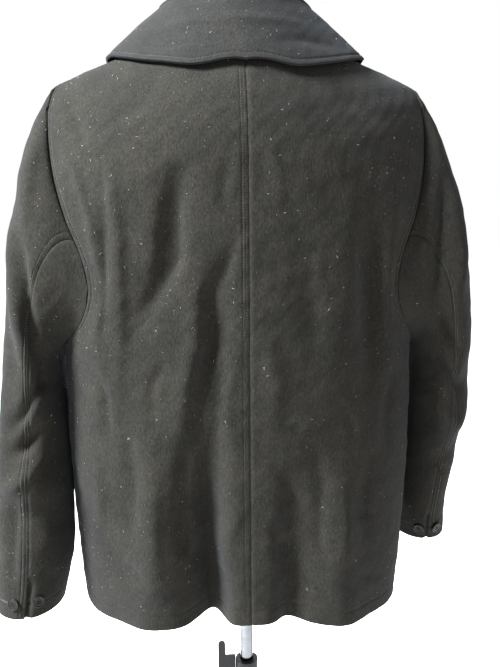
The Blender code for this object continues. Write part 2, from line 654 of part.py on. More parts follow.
def make_stand():
    """Base plate, lower tube, clamp collar, lock handle and the chrome pole."""
    base = add_rod("base_plate", BASE_RADIUS, 0.0, BASE_THICK, "black_steel", 40)
    edge = base.modifiers.new("edge", "BEVEL")
    edge.width = 0.002
    edge.segments = 2
    edge.limit_method = "ANGLE"
    add_tube("lower_tube", TUBE_RADIUS, TUBE_BORE, BASE_THICK + TOUCH_GAP,
             COLLAR_CLAMP_BOTTOM - TOUCH_GAP, "black_steel")
    add_tube("clamp_collar", COLLAR_CLAMP_RADIUS, TUBE_BORE, COLLAR_CLAMP_BOTTOM,
             COLLAR_CLAMP_TOP, "black_steel")
    add_rod("pole", POLE_RADIUS, POLE_BOTTOM, FORM_RINGS[0][0] - TOUCH_GAP, "chrome")
    make_handle()


def add_tube(name, outer, bore, bottom, top, material, sides=32):
    """A tube: one profile of its wall, turned round the pole's axis by Screw."""
    profile = bpy.data.meshes.new(name)
    corners = ((bore, bottom), (outer, bottom), (outer, top), (bore, top))
    profile.from_pydata([(r, 0.0, z) for r, z in corners],
                        [(1, 0), (2, 1), (3, 2), (0, 3)], [])
    obj = bpy.data.objects.new(name, profile)
    bpy.context.collection.objects.link(obj)
    turn = obj.modifiers.new("turn", "SCREW")
    turn.steps = sides
    turn.render_steps = sides
    turn.use_merge_vertices = True
    turn.merge_threshold = 0.00005
    return finish(obj, name, material)


def make_handle():
    """L-shaped flat lock handle at the collar's +X side, and its screw."""
    outline = bpy.data.curves.new("lock_handle", "CURVE")
    outline.dimensions = "2D"
    outline.fill_mode = "BOTH"
    outline.extrude = HANDLE_THICK / 2
    inner = COLLAR_CLAMP_RADIUS + TOUCH_GAP
    outer = inner + HANDLE_ARM
    low = -HANDLE_WIDTH / 2
    high = HANDLE_WIDTH / 2
    tab_round = HANDLE_TAB_WIDTH / 2
    points = [(inner, low), (outer, low), (outer, high + HANDLE_TAB_HEIGHT - tab_round)]
    for step in range(1, 8):
        angle = math.pi * step / 8
        points.append((outer - tab_round + tab_round * math.cos(angle),
                       high + HANDLE_TAB_HEIGHT - tab_round + tab_round * math.sin(angle)))
    points += [(outer - HANDLE_TAB_WIDTH, high + HANDLE_TAB_HEIGHT - tab_round),
               (outer - HANDLE_TAB_WIDTH, high), (inner, high)]
    spline = outline.splines.new("POLY")
    spline.points.add(len(points) - 1)
    for point, (x, y) in zip(spline.points, points):
        point.co = (x, y, 0.0, 1.0)
    spline.use_cyclic_u = True
    obj = bpy.data.objects.new("lock_handle", outline)
    bpy.context.collection.objects.link(obj)
    obj.rotation_euler = (math.pi / 2, 0.0, 0.0)
    obj.location = (0.0, 0.0, HANDLE_Z)
    finish(obj, "lock_handle", "black_steel")


def main():
    for obj in list(bpy.data.objects):
        bpy.data.objects.remove(obj, do_unlink=True)
    make_body()
    make_sleeve(1, "left", LEFT_SLEEVE, LEFT_SLEEVE_FOLDS)
    make_sleeve(-1, "right", RIGHT_SLEEVE, RIGHT_SLEEVE_FOLDS)
    make_collar()
    make_buttons()
    make_form()
    make_stand()


main()
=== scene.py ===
"""A charcoal car coat on a limbless dress form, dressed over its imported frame.

Metres, +Z up. The coat's back faces +Y and the wearer's left is +X.
"""
import math

import bmesh
import bpy
import numpy as np
from mathutils import Matrix, Vector


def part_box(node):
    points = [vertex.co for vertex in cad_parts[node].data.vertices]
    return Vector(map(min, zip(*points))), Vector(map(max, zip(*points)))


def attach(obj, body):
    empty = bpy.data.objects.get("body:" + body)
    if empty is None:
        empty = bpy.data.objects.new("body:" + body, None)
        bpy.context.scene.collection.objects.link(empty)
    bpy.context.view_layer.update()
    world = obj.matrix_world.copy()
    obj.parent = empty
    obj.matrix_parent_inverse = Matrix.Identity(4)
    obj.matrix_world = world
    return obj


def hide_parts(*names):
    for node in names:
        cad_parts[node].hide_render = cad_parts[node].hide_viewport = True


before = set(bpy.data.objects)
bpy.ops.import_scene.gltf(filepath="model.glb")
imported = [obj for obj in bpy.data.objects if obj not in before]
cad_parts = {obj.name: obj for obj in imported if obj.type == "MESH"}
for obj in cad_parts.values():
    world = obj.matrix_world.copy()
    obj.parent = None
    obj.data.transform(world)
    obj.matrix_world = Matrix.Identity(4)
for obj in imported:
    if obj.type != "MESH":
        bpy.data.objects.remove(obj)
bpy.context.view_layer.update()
scene = bpy.context.scene

# The studio: a white floor and a white world, as in a catalogue picture, with one
# large soft light from the upper left and a weaker one from the right. The camera
# stands behind the coat, about a metre from it, and looks a little down.
FOCAL_PX = 750.0
PHOTO_HEIGHT_PX = 667
SENSOR = 36.0
CAMERA_TURN_DEG = 5.242
CAMERA_DISTANCE = 1.0308
CAMERA_Z = 1.2971
CAMERA_TILT_DEG = 11.1765
CAMERA_ROLL_DEG = -0.432
CAMERA_AIM_X = -0.009


def add_node(tree, kind, links=None, **settings):
    """A shader node; links gives its inputs a number, a colour or another socket."""
    node = tree.nodes.new(kind)
    for name, value in settings.items():
        setattr(node, name, value)
    for name, value in (links or {}).items():
        if isinstance(value, bpy.types.NodeSocket):
            tree.links.new(value, node.inputs[name])
        else:
            node.inputs[name].default_value = value
    return node


def new_material(name, **surface):
    """A material with one Principled surface; surface gives its plain sockets."""
    made = bpy.data.materials.new(name)
    made.use_nodes = True
    shader = made.node_tree.nodes["Principled BSDF"]
    for socket, value in surface.items():
        shader.inputs[socket.replace("_", " ")].default_value = value
    return made, made.node_tree, shader


def new_mesh(name, points, faces, material):
    """An object at the origin from arrays of points and of equal-sided faces."""
    mesh = bpy.data.meshes.new(name)
    count, sides = faces.shape
    mesh.vertices.add(len(points))
    mesh.vertices.foreach_set("co", np.asarray(points, dtype=np.float32).ravel())
    mesh.loops.add(count * sides)
    mesh.loops.foreach_set("vertex_index", faces.astype(np.int32).ravel())
    mesh.polygons.add(count)
    mesh.polygons.foreach_set("loop_start", np.arange(0, count * sides, sides, dtype=np.int32))
    mesh.update(calc_edges=True)
    mesh.validate()
    mesh.shade_smooth()
    mesh.materials.append(material)
    obj = bpy.data.objects.new(name, mesh)
    scene.collection.objects.link(obj)
    return obj


def add_softbox(name, place, aim, size, power, colour):
    """A square area light at place, turned to aim."""
    light = bpy.data.lights.new(name, "AREA")
    light.shape = "SQUARE"
    light.size = size
    light.energy = power
    light.color = colour
    obj = bpy.data.objects.new(name, light)
    scene.collection.objects.link(obj)
    obj.location = place
    obj.rotation_euler = (Vector(aim) - Vector(place)).to_track_quat("-Z", "Y").to_euler()
    return obj


camera_data = bpy.data.cameras.new("photo_camera")
camera_data.sensor_fit = "VERTICAL"
camera_data.sensor_height = SENSOR
camera_data.lens = FOCAL_PX * SENSOR / PHOTO_HEIGHT_PX
camera_data.clip_start = 0.05
camera = bpy.data.objects.new("photo_camera", camera_data)
scene.collection.objects.link(camera)
camera_turn = math.radians(CAMERA_TURN_DEG)
camera_place = Vector((CAMERA_DISTANCE * math.sin(camera_turn),
                       CAMERA_DISTANCE * math.cos(camera_turn), CAMERA_Z))
camera_drop = CAMERA_DISTANCE * math.tan(math.radians(CAMERA_TILT_DEG))
camera_look = (Vector((CAMERA_AIM_X, 0.0, CAMERA_Z - camera_drop)) - camera_place).normalized()
level_right = camera_look.cross(Vector((0, 0, 1))).normalized()
level_up = level_right.cross(camera_look)
camera_roll = math.radians(CAMERA_ROLL_DEG)
camera_right = math.cos(camera_roll) * level_right + math.sin(camera_roll) * level_up
camera_up = math.cos(camera_roll) * level_up - math.sin(camera_roll) * level_right
camera.matrix_world = Matrix((
    (camera_right[0], camera_up[0], -camera_look[0], camera_place[0]),
    (camera_right[1], camera_up[1], -camera_look[1], camera_place[1]),
    (camera_right[2], camera_up[2], -camera_look[2], camera_place[2]),
    (0, 0, 0, 1)))
scene.camera = camera

scene.view_settings.view_transform = "Standard"
world = bpy.data.worlds.new("white_room")
scene.world = world
world.use_nodes = True
world.node_tree.nodes["Background"].inputs["Color"].default_value = (1.0, 1.0, 1.0, 1.0)
world.node_tree.nodes["Background"].inputs["Strength"].default_value = 1.0
add_softbox("key_softbox", (1.9, 0.75, 2.9), (0.0, 0.0, 1.15), 0.7, 700.0, (0.92, 0.96, 1.0))
add_softbox("right_softbox", (-2.4, 1.2, 1.5), (0.0, 0.0, 1.05), 1.0, 14.0, (1.0, 0.92, 0.83))
add_softbox("front_softbox", (0.6, -2.6, 2.2), (0.0, 0.0, 1.1), 1.4, 60.0, (1.0, 1.0, 1.0))

floor_white, floor_tree, floor_shader = new_material(
    "studio_floor", Roughness=0.9, Emission_Color=(1.0, 1.0, 1.0, 1.0), Emission_Strength=0.2)
floor_noise = add_node(floor_tree, "ShaderNodeTexNoise", {"Scale": 3.0, "Detail": 3.0})
floor_ramp = add_node(floor_tree, "ShaderNodeMixRGB", {
    "Fac": floor_noise.outputs["Fac"], "Color1": (0.86, 0.86, 0.85, 1.0),
    "Color2": (0.90, 0.90, 0.89, 1.0)})
floor_tree.links.new(floor_ramp.outputs["Color"], floor_shader.inputs["Base Color"])
FLOOR_HALF = 14.0
floor_corners = np.array([(-1, -1, 0), (1, -1, 0), (1, 1, 0), (-1, 1, 0)], float)
studio_floor = new_mesh("studio_floor", floor_corners * FLOOR_HALF, np.array([[0, 1, 2, 3]]),
                        floor_white)

# The body of the coat: two backs joined down the centre, two fronts lapped left over
# right, of dense melton wool. The wool is fulled until the weave closes, so it shows
# a short nap with pale specks in it. The panels hang from the shoulders.
CLOTH = 0.0024
COAT_X = 0.006
SEAM_HALF_GAP = 0.00003
SECTION_POWER = 2.3
LEVEL_COLUMNS = ("row", "z_centre", "slope", "half_width", "depth", "edge_x")
BACK_LEVELS = (
    (0.0, 0.7370, 0.05, 0.226, 0.150, 0.226),
    (3.5, 0.8600, 0.03, 0.235, 0.150, 0.235),
    (7.0, 0.9900, 0.04, 0.239, 0.148, 0.239),
    (10.0, 1.1010, 0.08, 0.238, 0.150, 0.238),
    (11.0, 1.1280, 0.13, 0.239, 0.150, 0.227),
    (12.0, 1.1550, 0.18, 0.240, 0.151, 0.211),
    (13.0, 1.1860, 0.23, 0.242, 0.151, 0.199),
    (14.0, 1.2215, 0.28, 0.245, 0.151, 0.194),
    (15.0, 1.2725, 0.35, 0.251, 0.151, 0.201),
    (16.0, 1.3310, 0.42, 0.257, 0.150, 0.217),
)
FRONT_LEVELS = (
    (0.0, 0.7370, 0.05, 0.226, 0.138, 0.226),
    (3.5, 0.8600, 0.03, 0.235, 0.138, 0.235),
    (7.0, 0.9900, 0.04, 0.239, 0.137, 0.239),
    (10.0, 1.1010, 0.08, 0.238, 0.138, 0.238),
    (11.0, 1.1200, 0.11, 0.239, 0.138, 0.229),
    (12.0, 1.1400, 0.15, 0.240, 0.138, 0.218),
    (13.0, 1.1630, 0.21, 0.242, 0.138, 0.210),
    (14.0, 1.1880, 0.28, 0.245, 0.138, 0.206),
    (15.0, 1.2120, 0.35, 0.251, 0.138, 0.206),
    (16.0, 1.2380, 0.42, 0.257, 0.137, 0.211),
)
LOWER_ROWS = 16
SHOULDER_ROWS = 10
BODY_ROWS = LOWER_ROWS + SHOULDER_ROWS
UNDERARM_ROW = 10
RIGHT_HEM_DROP = 0.011
BODY_SPLIT = LOWER_ROWS / BODY_ROWS
SHOULDER_PEAK_Z = 1.508
SHOULDER_SLOPE = 0.42
CENTRE_SOFT = 0.036
BACK_DROP = 0.177
FRONT_DROP = 0.270
ARMHOLE_COLUMNS = ("turn_deg", "back_x", "front_x")
ARMHOLE_TURNS = (
    (0.0, 0.217, 0.211),
    (20.0, 0.233, 0.222),
    (50.0, 0.240, 0.234),
    (90.0, 0.228, 0.228),
)
NECK_HALF_WIDTH = 0.085
NECK_BACK = 0.070
NECK_FRONT = 0.105
# columns: x_top, z_top, x_bottom, z_bottom, half_width, height
BACK_FOLDS = (
    (0.170, 1.33, 0.186, 0.98, 0.016, 0.007),
    (0.080, 1.33, 0.120, 1.12, 0.024, -0.008),
    (0.030, 1.24, 0.052, 0.86, 0.022, -0.010),
    (0.058, 1.02, 0.054, 0.45, 0.024, -0.050),
    (0.120, 1.02, 0.135, 0.60, 0.030, 0.012),
    (-0.150, 1.30, -0.158, 0.98, 0.026, -0.009),
    (-0.060, 0.98, -0.048, 0.50, 0.022, -0.020),
    (-0.115, 0.95, -0.125, 0.60, 0.030, 0.012),
    (-0.178, 1.33, -0.190, 1.05, 0.015, 0.006),
)
FRONT_FOLDS = (
    (0.100, 1.25, 0.125, 0.92, 0.024, -0.008),
    (0.090, 0.98, 0.085, 0.60, 0.026, -0.016),
    (0.150, 0.96, 0.160, 0.60, 0.026, 0.010),
    (-0.105, 1.25, -0.120, 0.92, 0.024, -0.007),
    (-0.085, 0.98, -0.090, 0.60, 0.026, -0.014),
    (-0.150, 0.96, -0.160, 0.60, 0.026, 0.010),
)
SIDE_VENT_TOP = 0.880
SIDE_VENT_FADE = 0.12
FOLDS_END = (0.78, 0.97)        # share of the panel over which folds fade to its side
SIDE_VENT_GAP = 0.006
FRONT_LAP = 0.026
LAP_RISE = 0.0038

# finer creases: a line of (x, z) points, half width, height (a trough is negative)
BACK_CREASES = (
    (((0.222, 1.350), (0.203, 1.316), (0.186, 1.262), (0.180, 1.191)), 0.006, 0.0022),
    (((0.214, 1.397), (0.200, 1.372), (0.186, 1.345)), 0.007, -0.0030),
    (((0.172, 1.330), (0.168, 1.260), (0.172, 1.180), (0.178, 1.100)), 0.007, -0.0028),
    (((0.159, 1.319), (0.153, 1.249), (0.153, 1.190), (0.156, 1.100), (0.162, 1.036)),
     0.010, 0.0030),
    (((0.073, 1.325), (0.084, 1.277), (0.086, 1.212), (0.121, 1.150), (0.138, 1.120)),
     0.011, -0.0038),
    (((0.105, 1.300), (0.112, 1.240), (0.116, 1.180)), 0.012, 0.0022),
    (((0.014, 1.236), (0.030, 1.197), (0.044, 1.170), (0.044, 1.106), (0.058, 1.057),
      (0.064, 1.000), (0.078, 0.965)), 0.009, -0.0044),
    (((0.062, 1.190), (0.064, 1.110), (0.080, 1.050), (0.088, 0.990)), 0.012, 0.0030),
    (((0.078, 0.985), (0.084, 0.930), (0.086, 0.880), (0.077, 0.830), (0.090, 0.780)),
     0.009, -0.0042),
    (((0.062, 0.885), (0.075, 0.835), (0.094, 0.788)), 0.006, 0.0020),
    (((0.118, 0.960), (0.124, 0.880), (0.122, 0.800)), 0.012, 0.0030),
    (((0.150, 1.000), (0.146, 0.930), (0.154, 0.850)), 0.010, -0.0030),
    (((0.192, 1.080), (0.178, 1.040), (0.176, 0.980)), 0.008, -0.0026),
    (((0.196, 0.960), (0.190, 0.900), (0.196, 0.840)), 0.008, 0.0020),
    (((0.012, 0.900), (0.030, 0.860), (0.034, 0.800)), 0.009, 0.0022),
    (((-0.030, 0.875), (-0.042, 0.842), (-0.046, 0.800)), 0.008, -0.0030),
    (((-0.018, 1.130), (-0.032, 1.060), (-0.030, 0.990)), 0.013, 0.0020),
    (((-0.150, 1.260), (-0.153, 1.165), (-0.160, 1.088), (-0.150, 1.030)), 0.011, -0.0034),
    (((-0.120, 1.290), (-0.124, 1.200), (-0.128, 1.110)), 0.014, 0.0022),
    (((-0.176, 1.230), (-0.178, 1.150), (-0.184, 1.080)), 0.008, 0.0024),
    (((-0.062, 1.240), (-0.078, 1.150), (-0.080, 1.060)), 0.016, -0.0020),
    (((-0.080, 0.985), (-0.092, 0.920), (-0.088, 0.850), (-0.096, 0.790)), 0.010, -0.0030),
    (((-0.118, 0.930), (-0.124, 0.870), (-0.122, 0.800)), 0.012, 0.0026),
    (((-0.160, 0.960), (-0.152, 0.900), (-0.158, 0.820)), 0.010, -0.0026),
    (((-0.196, 1.060), (-0.184, 1.010), (-0.186, 0.950)), 0.008, -0.0022),
    (((-0.060, 0.800), (-0.084, 0.790), (-0.104, 0.772)), 0.005, -0.0012),
    (((-0.024, 0.960), (-0.050, 0.930), (-0.058, 0.890)), 0.006, -0.0016),
    (((-0.030, 1.000), (-0.062, 1.010), (-0.090, 0.990)), 0.006, 0.0013),
    (((-0.100, 1.040), (-0.128, 1.010), (-0.140, 0.970)), 0.007, -0.0015),
    (((-0.020, 0.850), (-0.060, 0.862), (-0.088, 0.840)), 0.006, 0.0012),
    (((-0.128, 0.900), (-0.150, 0.870), (-0.180, 0.868)), 0.006, -0.0014),
    (((0.020, 1.080), (0.030, 1.030), (0.024, 0.980)), 0.008, 0.0016),
    (((0.100, 1.090), (0.118, 1.060), (0.120, 1.010)), 0.007, -0.0015),
    (((0.130, 0.800), (0.150, 0.812), (0.172, 0.800)), 0.006, -0.0012),
    (((0.020, 1.330), (0.030, 1.300), (0.026, 1.265)), 0.008, -0.0012),
    (((-0.020, 1.350), (-0.036, 1.310), (-0.034, 1.270)), 0.009, 0.0012),
    (((-0.150, 0.790), (-0.170, 0.775), (-0.190, 0.770)), 0.005, -0.0012),
    (((0.100, 1.420), (0.130, 1.385), (0.160, 1.370)), 0.010, -0.0016),
    (((-0.100, 1.420), (-0.135, 1.390), (-0.165, 1.372)), 0.010, -0.0014),
)
FRONT_CREASES = (
    (((0.150, 1.260), (0.158, 1.180), (0.150, 1.100)), 0.010, -0.0030),
    (((0.085, 1.300), (0.070, 1.220), (0.050, 1.160)), 0.012, -0.0026),
    (((0.060, 1.080), (0.072, 1.000), (0.068, 0.920)), 0.012, -0.0032),
    (((0.110, 1.020), (0.118, 0.930), (0.112, 0.830)), 0.013, 0.0030),
    (((0.165, 1.000), (0.158, 0.920), (0.166, 0.840)), 0.010, -0.0028),
    (((0.050, 0.880), (0.062, 0.830), (0.058, 0.780)), 0.009, -0.0026),
    (((-0.150, 1.250), (-0.160, 1.170), (-0.154, 1.090)), 0.010, -0.0030),
    (((-0.082, 1.290), (-0.074, 1.210), (-0.056, 1.150)), 0.012, -0.0024),
    (((-0.070, 1.060), (-0.080, 0.980), (-0.074, 0.900)), 0.012, -0.0032),
    (((-0.115, 1.000), (-0.124, 0.920), (-0.118, 0.820)), 0.013, 0.0028),
    (((-0.168, 0.980), (-0.160, 0.900), (-0.168, 0.820)), 0.010, -0.0026),
)
CREASE_STRENGTH = 1.7
SIDE_DIP_SHARE = 0.35           # side and armhole seams turn in less than the others
SEAM_DIP = 0.0013
SEAM_DIP_HALF = 0.0020
STITCH_SINK = 0.0009
STITCH_SINK_HALF = 0.0011
CENTRE_ROWS = (0.0036, 0.0076)
ARMHOLE_ROW = 0.0068
HEM_ROW = 0.0200
VENT_ROW = 0.0068


def table_curve(table, columns, key, name, at):
    """Hermite curve through one named column of a table, against its key column."""
    xs = np.array([row[columns.index(key)] for row in table])
    ys = np.array([row[columns.index(name)] for row in table])
    at = np.clip(at, xs[0], xs[-1])
    slopes = np.gradient(ys, xs)
    span = np.clip(np.searchsorted(xs, at, side="right") - 1, 0, len(xs) - 2)
    width = xs[span + 1] - xs[span]
    t = (at - xs[span]) / width
    rise_0 = slopes[span] * width
    rise_1 = slopes[span + 1] * width
    return ((2 * t**3 - 3 * t**2 + 1) * ys[span] + (t**3 - 2 * t**2 + t) * rise_0
            + (3 * t**2 - 2 * t**3) * ys[span + 1] + (t**3 - t**2) * rise_1)


def smooth_step(low, high, at):
    """0 below low, 1 above high, and 3t^2 - 2t^3 between."""
    t = np.clip((at - low) / (high - low), 0.0, 1.0)
    return t * t * (3 - 2 * t)


def signed_power(value, power):
    """The power of a number's size, with its sign kept."""
    return np.sign(value) * np.abs(value) ** power


def section_depth(x, half_width, depth):
    """Depth of a rounded-square half section: depth (1 - |x / half|^p)^(1/p)."""
    inside = np.clip(1 - np.abs(x / half_width) ** SECTION_POWER, 0.0, 1.0)
    return depth * inside ** (1 / SECTION_POWER)


def off_centre(x):
    """Distance from the centre line, with its corner there rounded off."""
    return np.hypot(x, CENTRE_SOFT) - CENTRE_SOFT


def shoulder_line(x):
    """Height of the shoulder line above x: a straight slope either side."""
    return SHOULDER_PEAK_Z - SHOULDER_SLOPE * off_centre(x)


def neck_turn(x, level_depth, front):
    """Angle round the shoulder at which the neck seam, a parabola in plan, lies."""
    reach = NECK_FRONT if front else NECK_BACK
    inside = np.clip(1 - (x / NECK_HALF_WIDTH) ** 2, 0.0, 1.0)
    return np.arccos(np.clip(reach * inside / level_depth, 0.0, 1.0))


def fold_height(x, z, folds):
    """Sum of bell-shaped ridges, each along a straight line and fading at its ends."""
    total = np.zeros_like(x)
    for x_top, z_top, x_bottom, z_bottom, half_width, height in folds:
        down = (z_top - z) / (z_top - z_bottom)
        middle = x_top + (x_bottom - x_top) * down
        along = np.sin(np.pi * np.clip(down, 0.0, 1.0)) ** 1.2
        total += height * along * np.exp(-((x - middle) / half_width) ** 2)
    return total


def crease_height(x, z, creases):
    """Sum of creases: a bell across the nearest point of a bent line, which fades
    from the line's middle to its ends, with one side of it steeper."""
    total = np.zeros_like(x)
    for line, half_width, height in creases:
        corners = np.array(line)
        steps = np.diff(corners, axis=0)
        lengths = np.hypot(steps[:, 0], steps[:, 1])
        starts = np.concatenate([[0.0], np.cumsum(lengths)[:-1]])
        away_x = x[:, None] - corners[None, :-1, 0]
        away_z = z[:, None] - corners[None, :-1, 1]
        t = np.clip((away_x * steps[:, 0] + away_z * steps[:, 1]) / lengths**2, 0.0, 1.0)
        near_x = away_x - t * steps[:, 0]
        near_z = away_z - t * steps[:, 1]
        gaps = np.hypot(near_x, near_z)
        best = np.argmin(gaps, axis=1)
        pick = np.arange(len(x))
        run = (starts[best] + t[pick, best] * lengths[best]) / lengths.sum()
        wide = half_width * np.where(near_x[pick, best] > 0, 1.25, 0.85)
        fade = np.sin(np.pi * np.clip(run, 0.02, 0.98)) ** 0.7
        total += CREASE_STRENGTH * height * fade * np.exp(-((gaps[pick, best] / wide) ** 2))
    return total


def soft_unevenness(points):
    """Low waves of several lengths added up, so that no area of cloth is quite flat."""
    x, y, z = points[:, 0], points[:, 1], points[:, 2]
    return (0.00050 * np.sin(61 * x + 23 * z + 1.3) * np.sin(37 * z - 19 * y)
            + 0.00034 * np.sin(113 * x - 71 * z + 0.4 * np.sin(40 * z))
            + 0.00022 * np.sin(190 * z + 83 * x - 60 * y + 2.1)
            + 0.00014 * np.sin(310 * x + 170 * z + 3 * np.sin(55 * z)))


def body_surface(across, up, front, side, start_x=0.0):
    """One half of the body: rounded-square half sections stacked from the hem to the
    armholes, then turned over to the shoulder line. across runs from the centre to
    the side, up from the hem to the neck and shoulder; side is +1 for the left."""
    levels = FRONT_LEVELS if front else BACK_LEVELS
    drop = FRONT_DROP if front else BACK_DROP
    row = LOWER_ROWS * np.clip(up / BODY_SPLIT, 0.0, 1.0)
    over = np.clip((up - BODY_SPLIT) / (1 - BODY_SPLIT), 0.0, 1.0)

    def column(name):
        return table_curve(levels, LEVEL_COLUMNS, "row", name, row)

    half_width = column("half_width")
    ratio = np.clip(column("edge_x") / half_width, 0.0, 1.0)
    end = np.arcsin(ratio ** (SECTION_POWER / 2))
    vent = SIDE_VENT_GAP * (1 - smooth_step(SIDE_VENT_TOP - SIDE_VENT_FADE, SIDE_VENT_TOP,
                                            column("z_centre")))
    end = end - (SEAM_HALF_GAP + vent) / column("depth")
    begin = np.arcsin(signed_power(start_x / half_width, SECTION_POWER / 2))
    angle = begin + (end - begin) * across
    x = half_width * signed_power(np.sin(angle), 2 / SECTION_POWER)
    edge_name = "front_x" if front else "back_x"
    edge_at = [table_curve(ARMHOLE_TURNS, ARMHOLE_COLUMNS, "turn_deg", edge_name, turn)
               for turn in (np.zeros_like(over), 90 * over)]
    x = x * np.where(over > 0, edge_at[1] / edge_at[0], 1.0)
    y = section_depth(x, half_width, column("depth"))
    turn = over * neck_turn(x, y, front) - over * SEAM_HALF_GAP / 0.1
    z_level = column("z_centre") - column("slope") * off_centre(x)
    if side < 0:
        z_level = z_level - (RIGHT_HEM_DROP * smooth_step(0.02, 0.16, x)
                             * (1 - np.clip(row / UNDERARM_ROW, 0.0, 1.0)))
    z = np.where(over > 0, shoulder_line(x) - drop * (1 - np.sin(turn)), z_level)
    y = y * np.cos(turn)
    push = fold_height(side * x, z, FRONT_FOLDS if front else BACK_FOLDS)
    push = push * (1 - smooth_step(*FOLDS_END, across)) * smooth_step(0.0, 0.10, across)
    if front and start_x < 0 and side > 0:
        push = push + LAP_RISE * (1 - smooth_step(FRONT_LAP + 0.018, FRONT_LAP + 0.045, x))
    out_x = x / half_width ** 2
    out_y = np.maximum(y, 0.02) / column("depth") ** 2
    length = np.hypot(out_x, out_y)
    x = x + push * np.cos(turn) * out_x / length
    y = y + push * np.cos(turn) * out_y / length
    z = z + push * np.sin(turn)
    return np.stack([side * x, -y if front else y, z], axis=-1)


def surface_normals(surface, across, up):
    """Unit normals: the cross product of a surface's slopes across and up."""
    step = 1e-3
    low = surface(np.maximum(across - step, 0.0), up)
    high = surface(np.minimum(across + step, 1.0), up)
    below = surface(across, np.maximum(up - step, 0.0))
    above = surface(across, np.minimum(up + step, 1.0))
    normal = np.cross(high - low, above - below)
    return normal / np.maximum(np.linalg.norm(normal, axis=1), 1e-12)[:, None]


def stitched(away, rows):
    """How far the cloth is drawn in along rows of stitching at these distances."""
    return -STITCH_SINK * sum(np.exp(-(((away - row) / STITCH_SINK_HALF) ** 2)) for row in rows)


def seam_dip(away):
    """How far the cloth turns in at a sewn edge."""
    return -SEAM_DIP * np.exp(-((away / SEAM_DIP_HALF) ** 2))


def spread(*parts):
    """Grid lines from 0 to 1: each part is (end, number of steps up to it)."""
    lines = [np.zeros(1)]
    start = 0.0
    for end, steps in parts:
        lines.append(np.linspace(start, end, steps + 1)[1:])
        start = end
    return np.concatenate(lines)


def dressed(base, grow, outward):
    """A plain surface moved along its outward normal by grow(across, up, points)."""
    def surface(across, up):
        points = base(across, up)
        normals = outward * surface_normals(base, across, up)
        points = points + grow(across, up, points)[:, None] * normals
        points[:, 0] += COAT_X
        return points
    return surface


def cloth_panel(name, node, surface, across, up, wall, outward, material):
    """A sheet of cloth: a grid bent onto surface(across, up), with its wall grown
    inwards and its cut edges rounded. It stands for one CAD node."""
    grid_across, grid_up = np.meshgrid(across, up)
    points = surface(grid_across.ravel(), grid_up.ravel())
    columns = len(across)
    low = (np.arange(len(up) - 1)[:, None] * columns + np.arange(columns - 1)).ravel()
    faces = np.stack([low, low + 1, low + columns + 1, low + columns], axis=1)
    if outward < 0:
        faces = faces[:, ::-1]
    obj = new_mesh(name, points, faces, material)
    shell = obj.modifiers.new("wall", "SOLIDIFY")
    shell.thickness = wall
    shell.offset = -1.0
    soft_edge = obj.modifiers.new("soft_edge", "BEVEL")
    soft_edge.width = wall * 0.3
    soft_edge.segments = 2
    soft_edge.limit_method = "ANGLE"
    soft_edge.angle_limit = math.radians(60)
    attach(obj, "coat")
    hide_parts(node)
    return obj


def wool_material(name, dark, light, sheen_weight):
    """Melton wool: a fulled face with a faint upright grain, mottled in patches a few
    millimetres wide, with a soft sheen from its nap."""
    made, tree, shader = new_material(name, Roughness=0.93, Sheen_Roughness=0.55,
                                      Sheen_Weight=sheen_weight,
                                      Sheen_Tint=(0.80, 0.88, 1.0, 1.0),
                                      Specular_IOR_Level=0.06)
    place = add_node(tree, "ShaderNodeTexCoord")
    upright = add_node(tree, "ShaderNodeMapping", {"Vector": place.outputs["Object"],
                                                   "Scale": (1.0, 1.0, 0.42)})
    nap = add_node(tree, "ShaderNodeTexNoise", {"Vector": upright.outputs["Vector"],
                                                "Scale": 950.0, "Detail": 5.0,
                                                "Roughness": 0.68})
    tufts = add_node(tree, "ShaderNodeTexNoise", {"Vector": upright.outputs["Vector"],
                                                  "Scale": 480.0, "Detail": 3.0,
                                                  "Roughness": 0.6})
    cloud = add_node(tree, "ShaderNodeTexNoise", {"Vector": place.outputs["Object"],
                                                  "Scale": 26.0, "Detail": 4.0})
    both = add_node(tree, "ShaderNodeMath", {0: nap.outputs["Fac"], 1: tufts.outputs["Fac"]},
                    operation="MULTIPLY")
    grain = add_node(tree, "ShaderNodeMapRange", {"Value": both.outputs[0], "From Min": 0.14,
                                                  "From Max": 0.40})
    patch = add_node(tree, "ShaderNodeMapRange", {"Value": cloud.outputs["Fac"],
                                                  "From Min": 0.34, "From Max": 0.68})
    colour = add_node(tree, "ShaderNodeMixRGB", {"Fac": grain.outputs[0], "Color1": dark,
                                                 "Color2": light})
    worn = add_node(tree, "ShaderNodeMixRGB", {"Fac": patch.outputs[0],
                                               "Color1": (0.88, 0.88, 0.90, 1.0),
                                               "Color2": (1.12, 1.10, 1.06, 1.0)})
    tinted = add_node(tree, "ShaderNodeMixRGB", {"Fac": 1.0, "Color1": colour.outputs["Color"],
                                                 "Color2": worn.outputs["Color"]},
                      blend_type="MULTIPLY")
    tree.links.new(tinted.outputs["Color"], shader.inputs["Base Color"])
    coarse = add_node(tree, "ShaderNodeBump", {"Height": tufts.outputs["Fac"],
                                               "Strength": 0.35, "Distance": 0.0012})
    fine = add_node(tree, "ShaderNodeBump", {"Height": nap.outputs["Fac"], "Strength": 0.5,
                                             "Distance": 0.0005,
                                             "Normal": coarse.outputs["Normal"]})
    tree.links.new(fine.outputs["Normal"], shader.inputs["Normal"])
    return made


melton = wool_material("charcoal_melton", (0.0062, 0.0058, 0.0048, 1),
                       (0.0172, 0.0163, 0.0132, 1), 0.025)


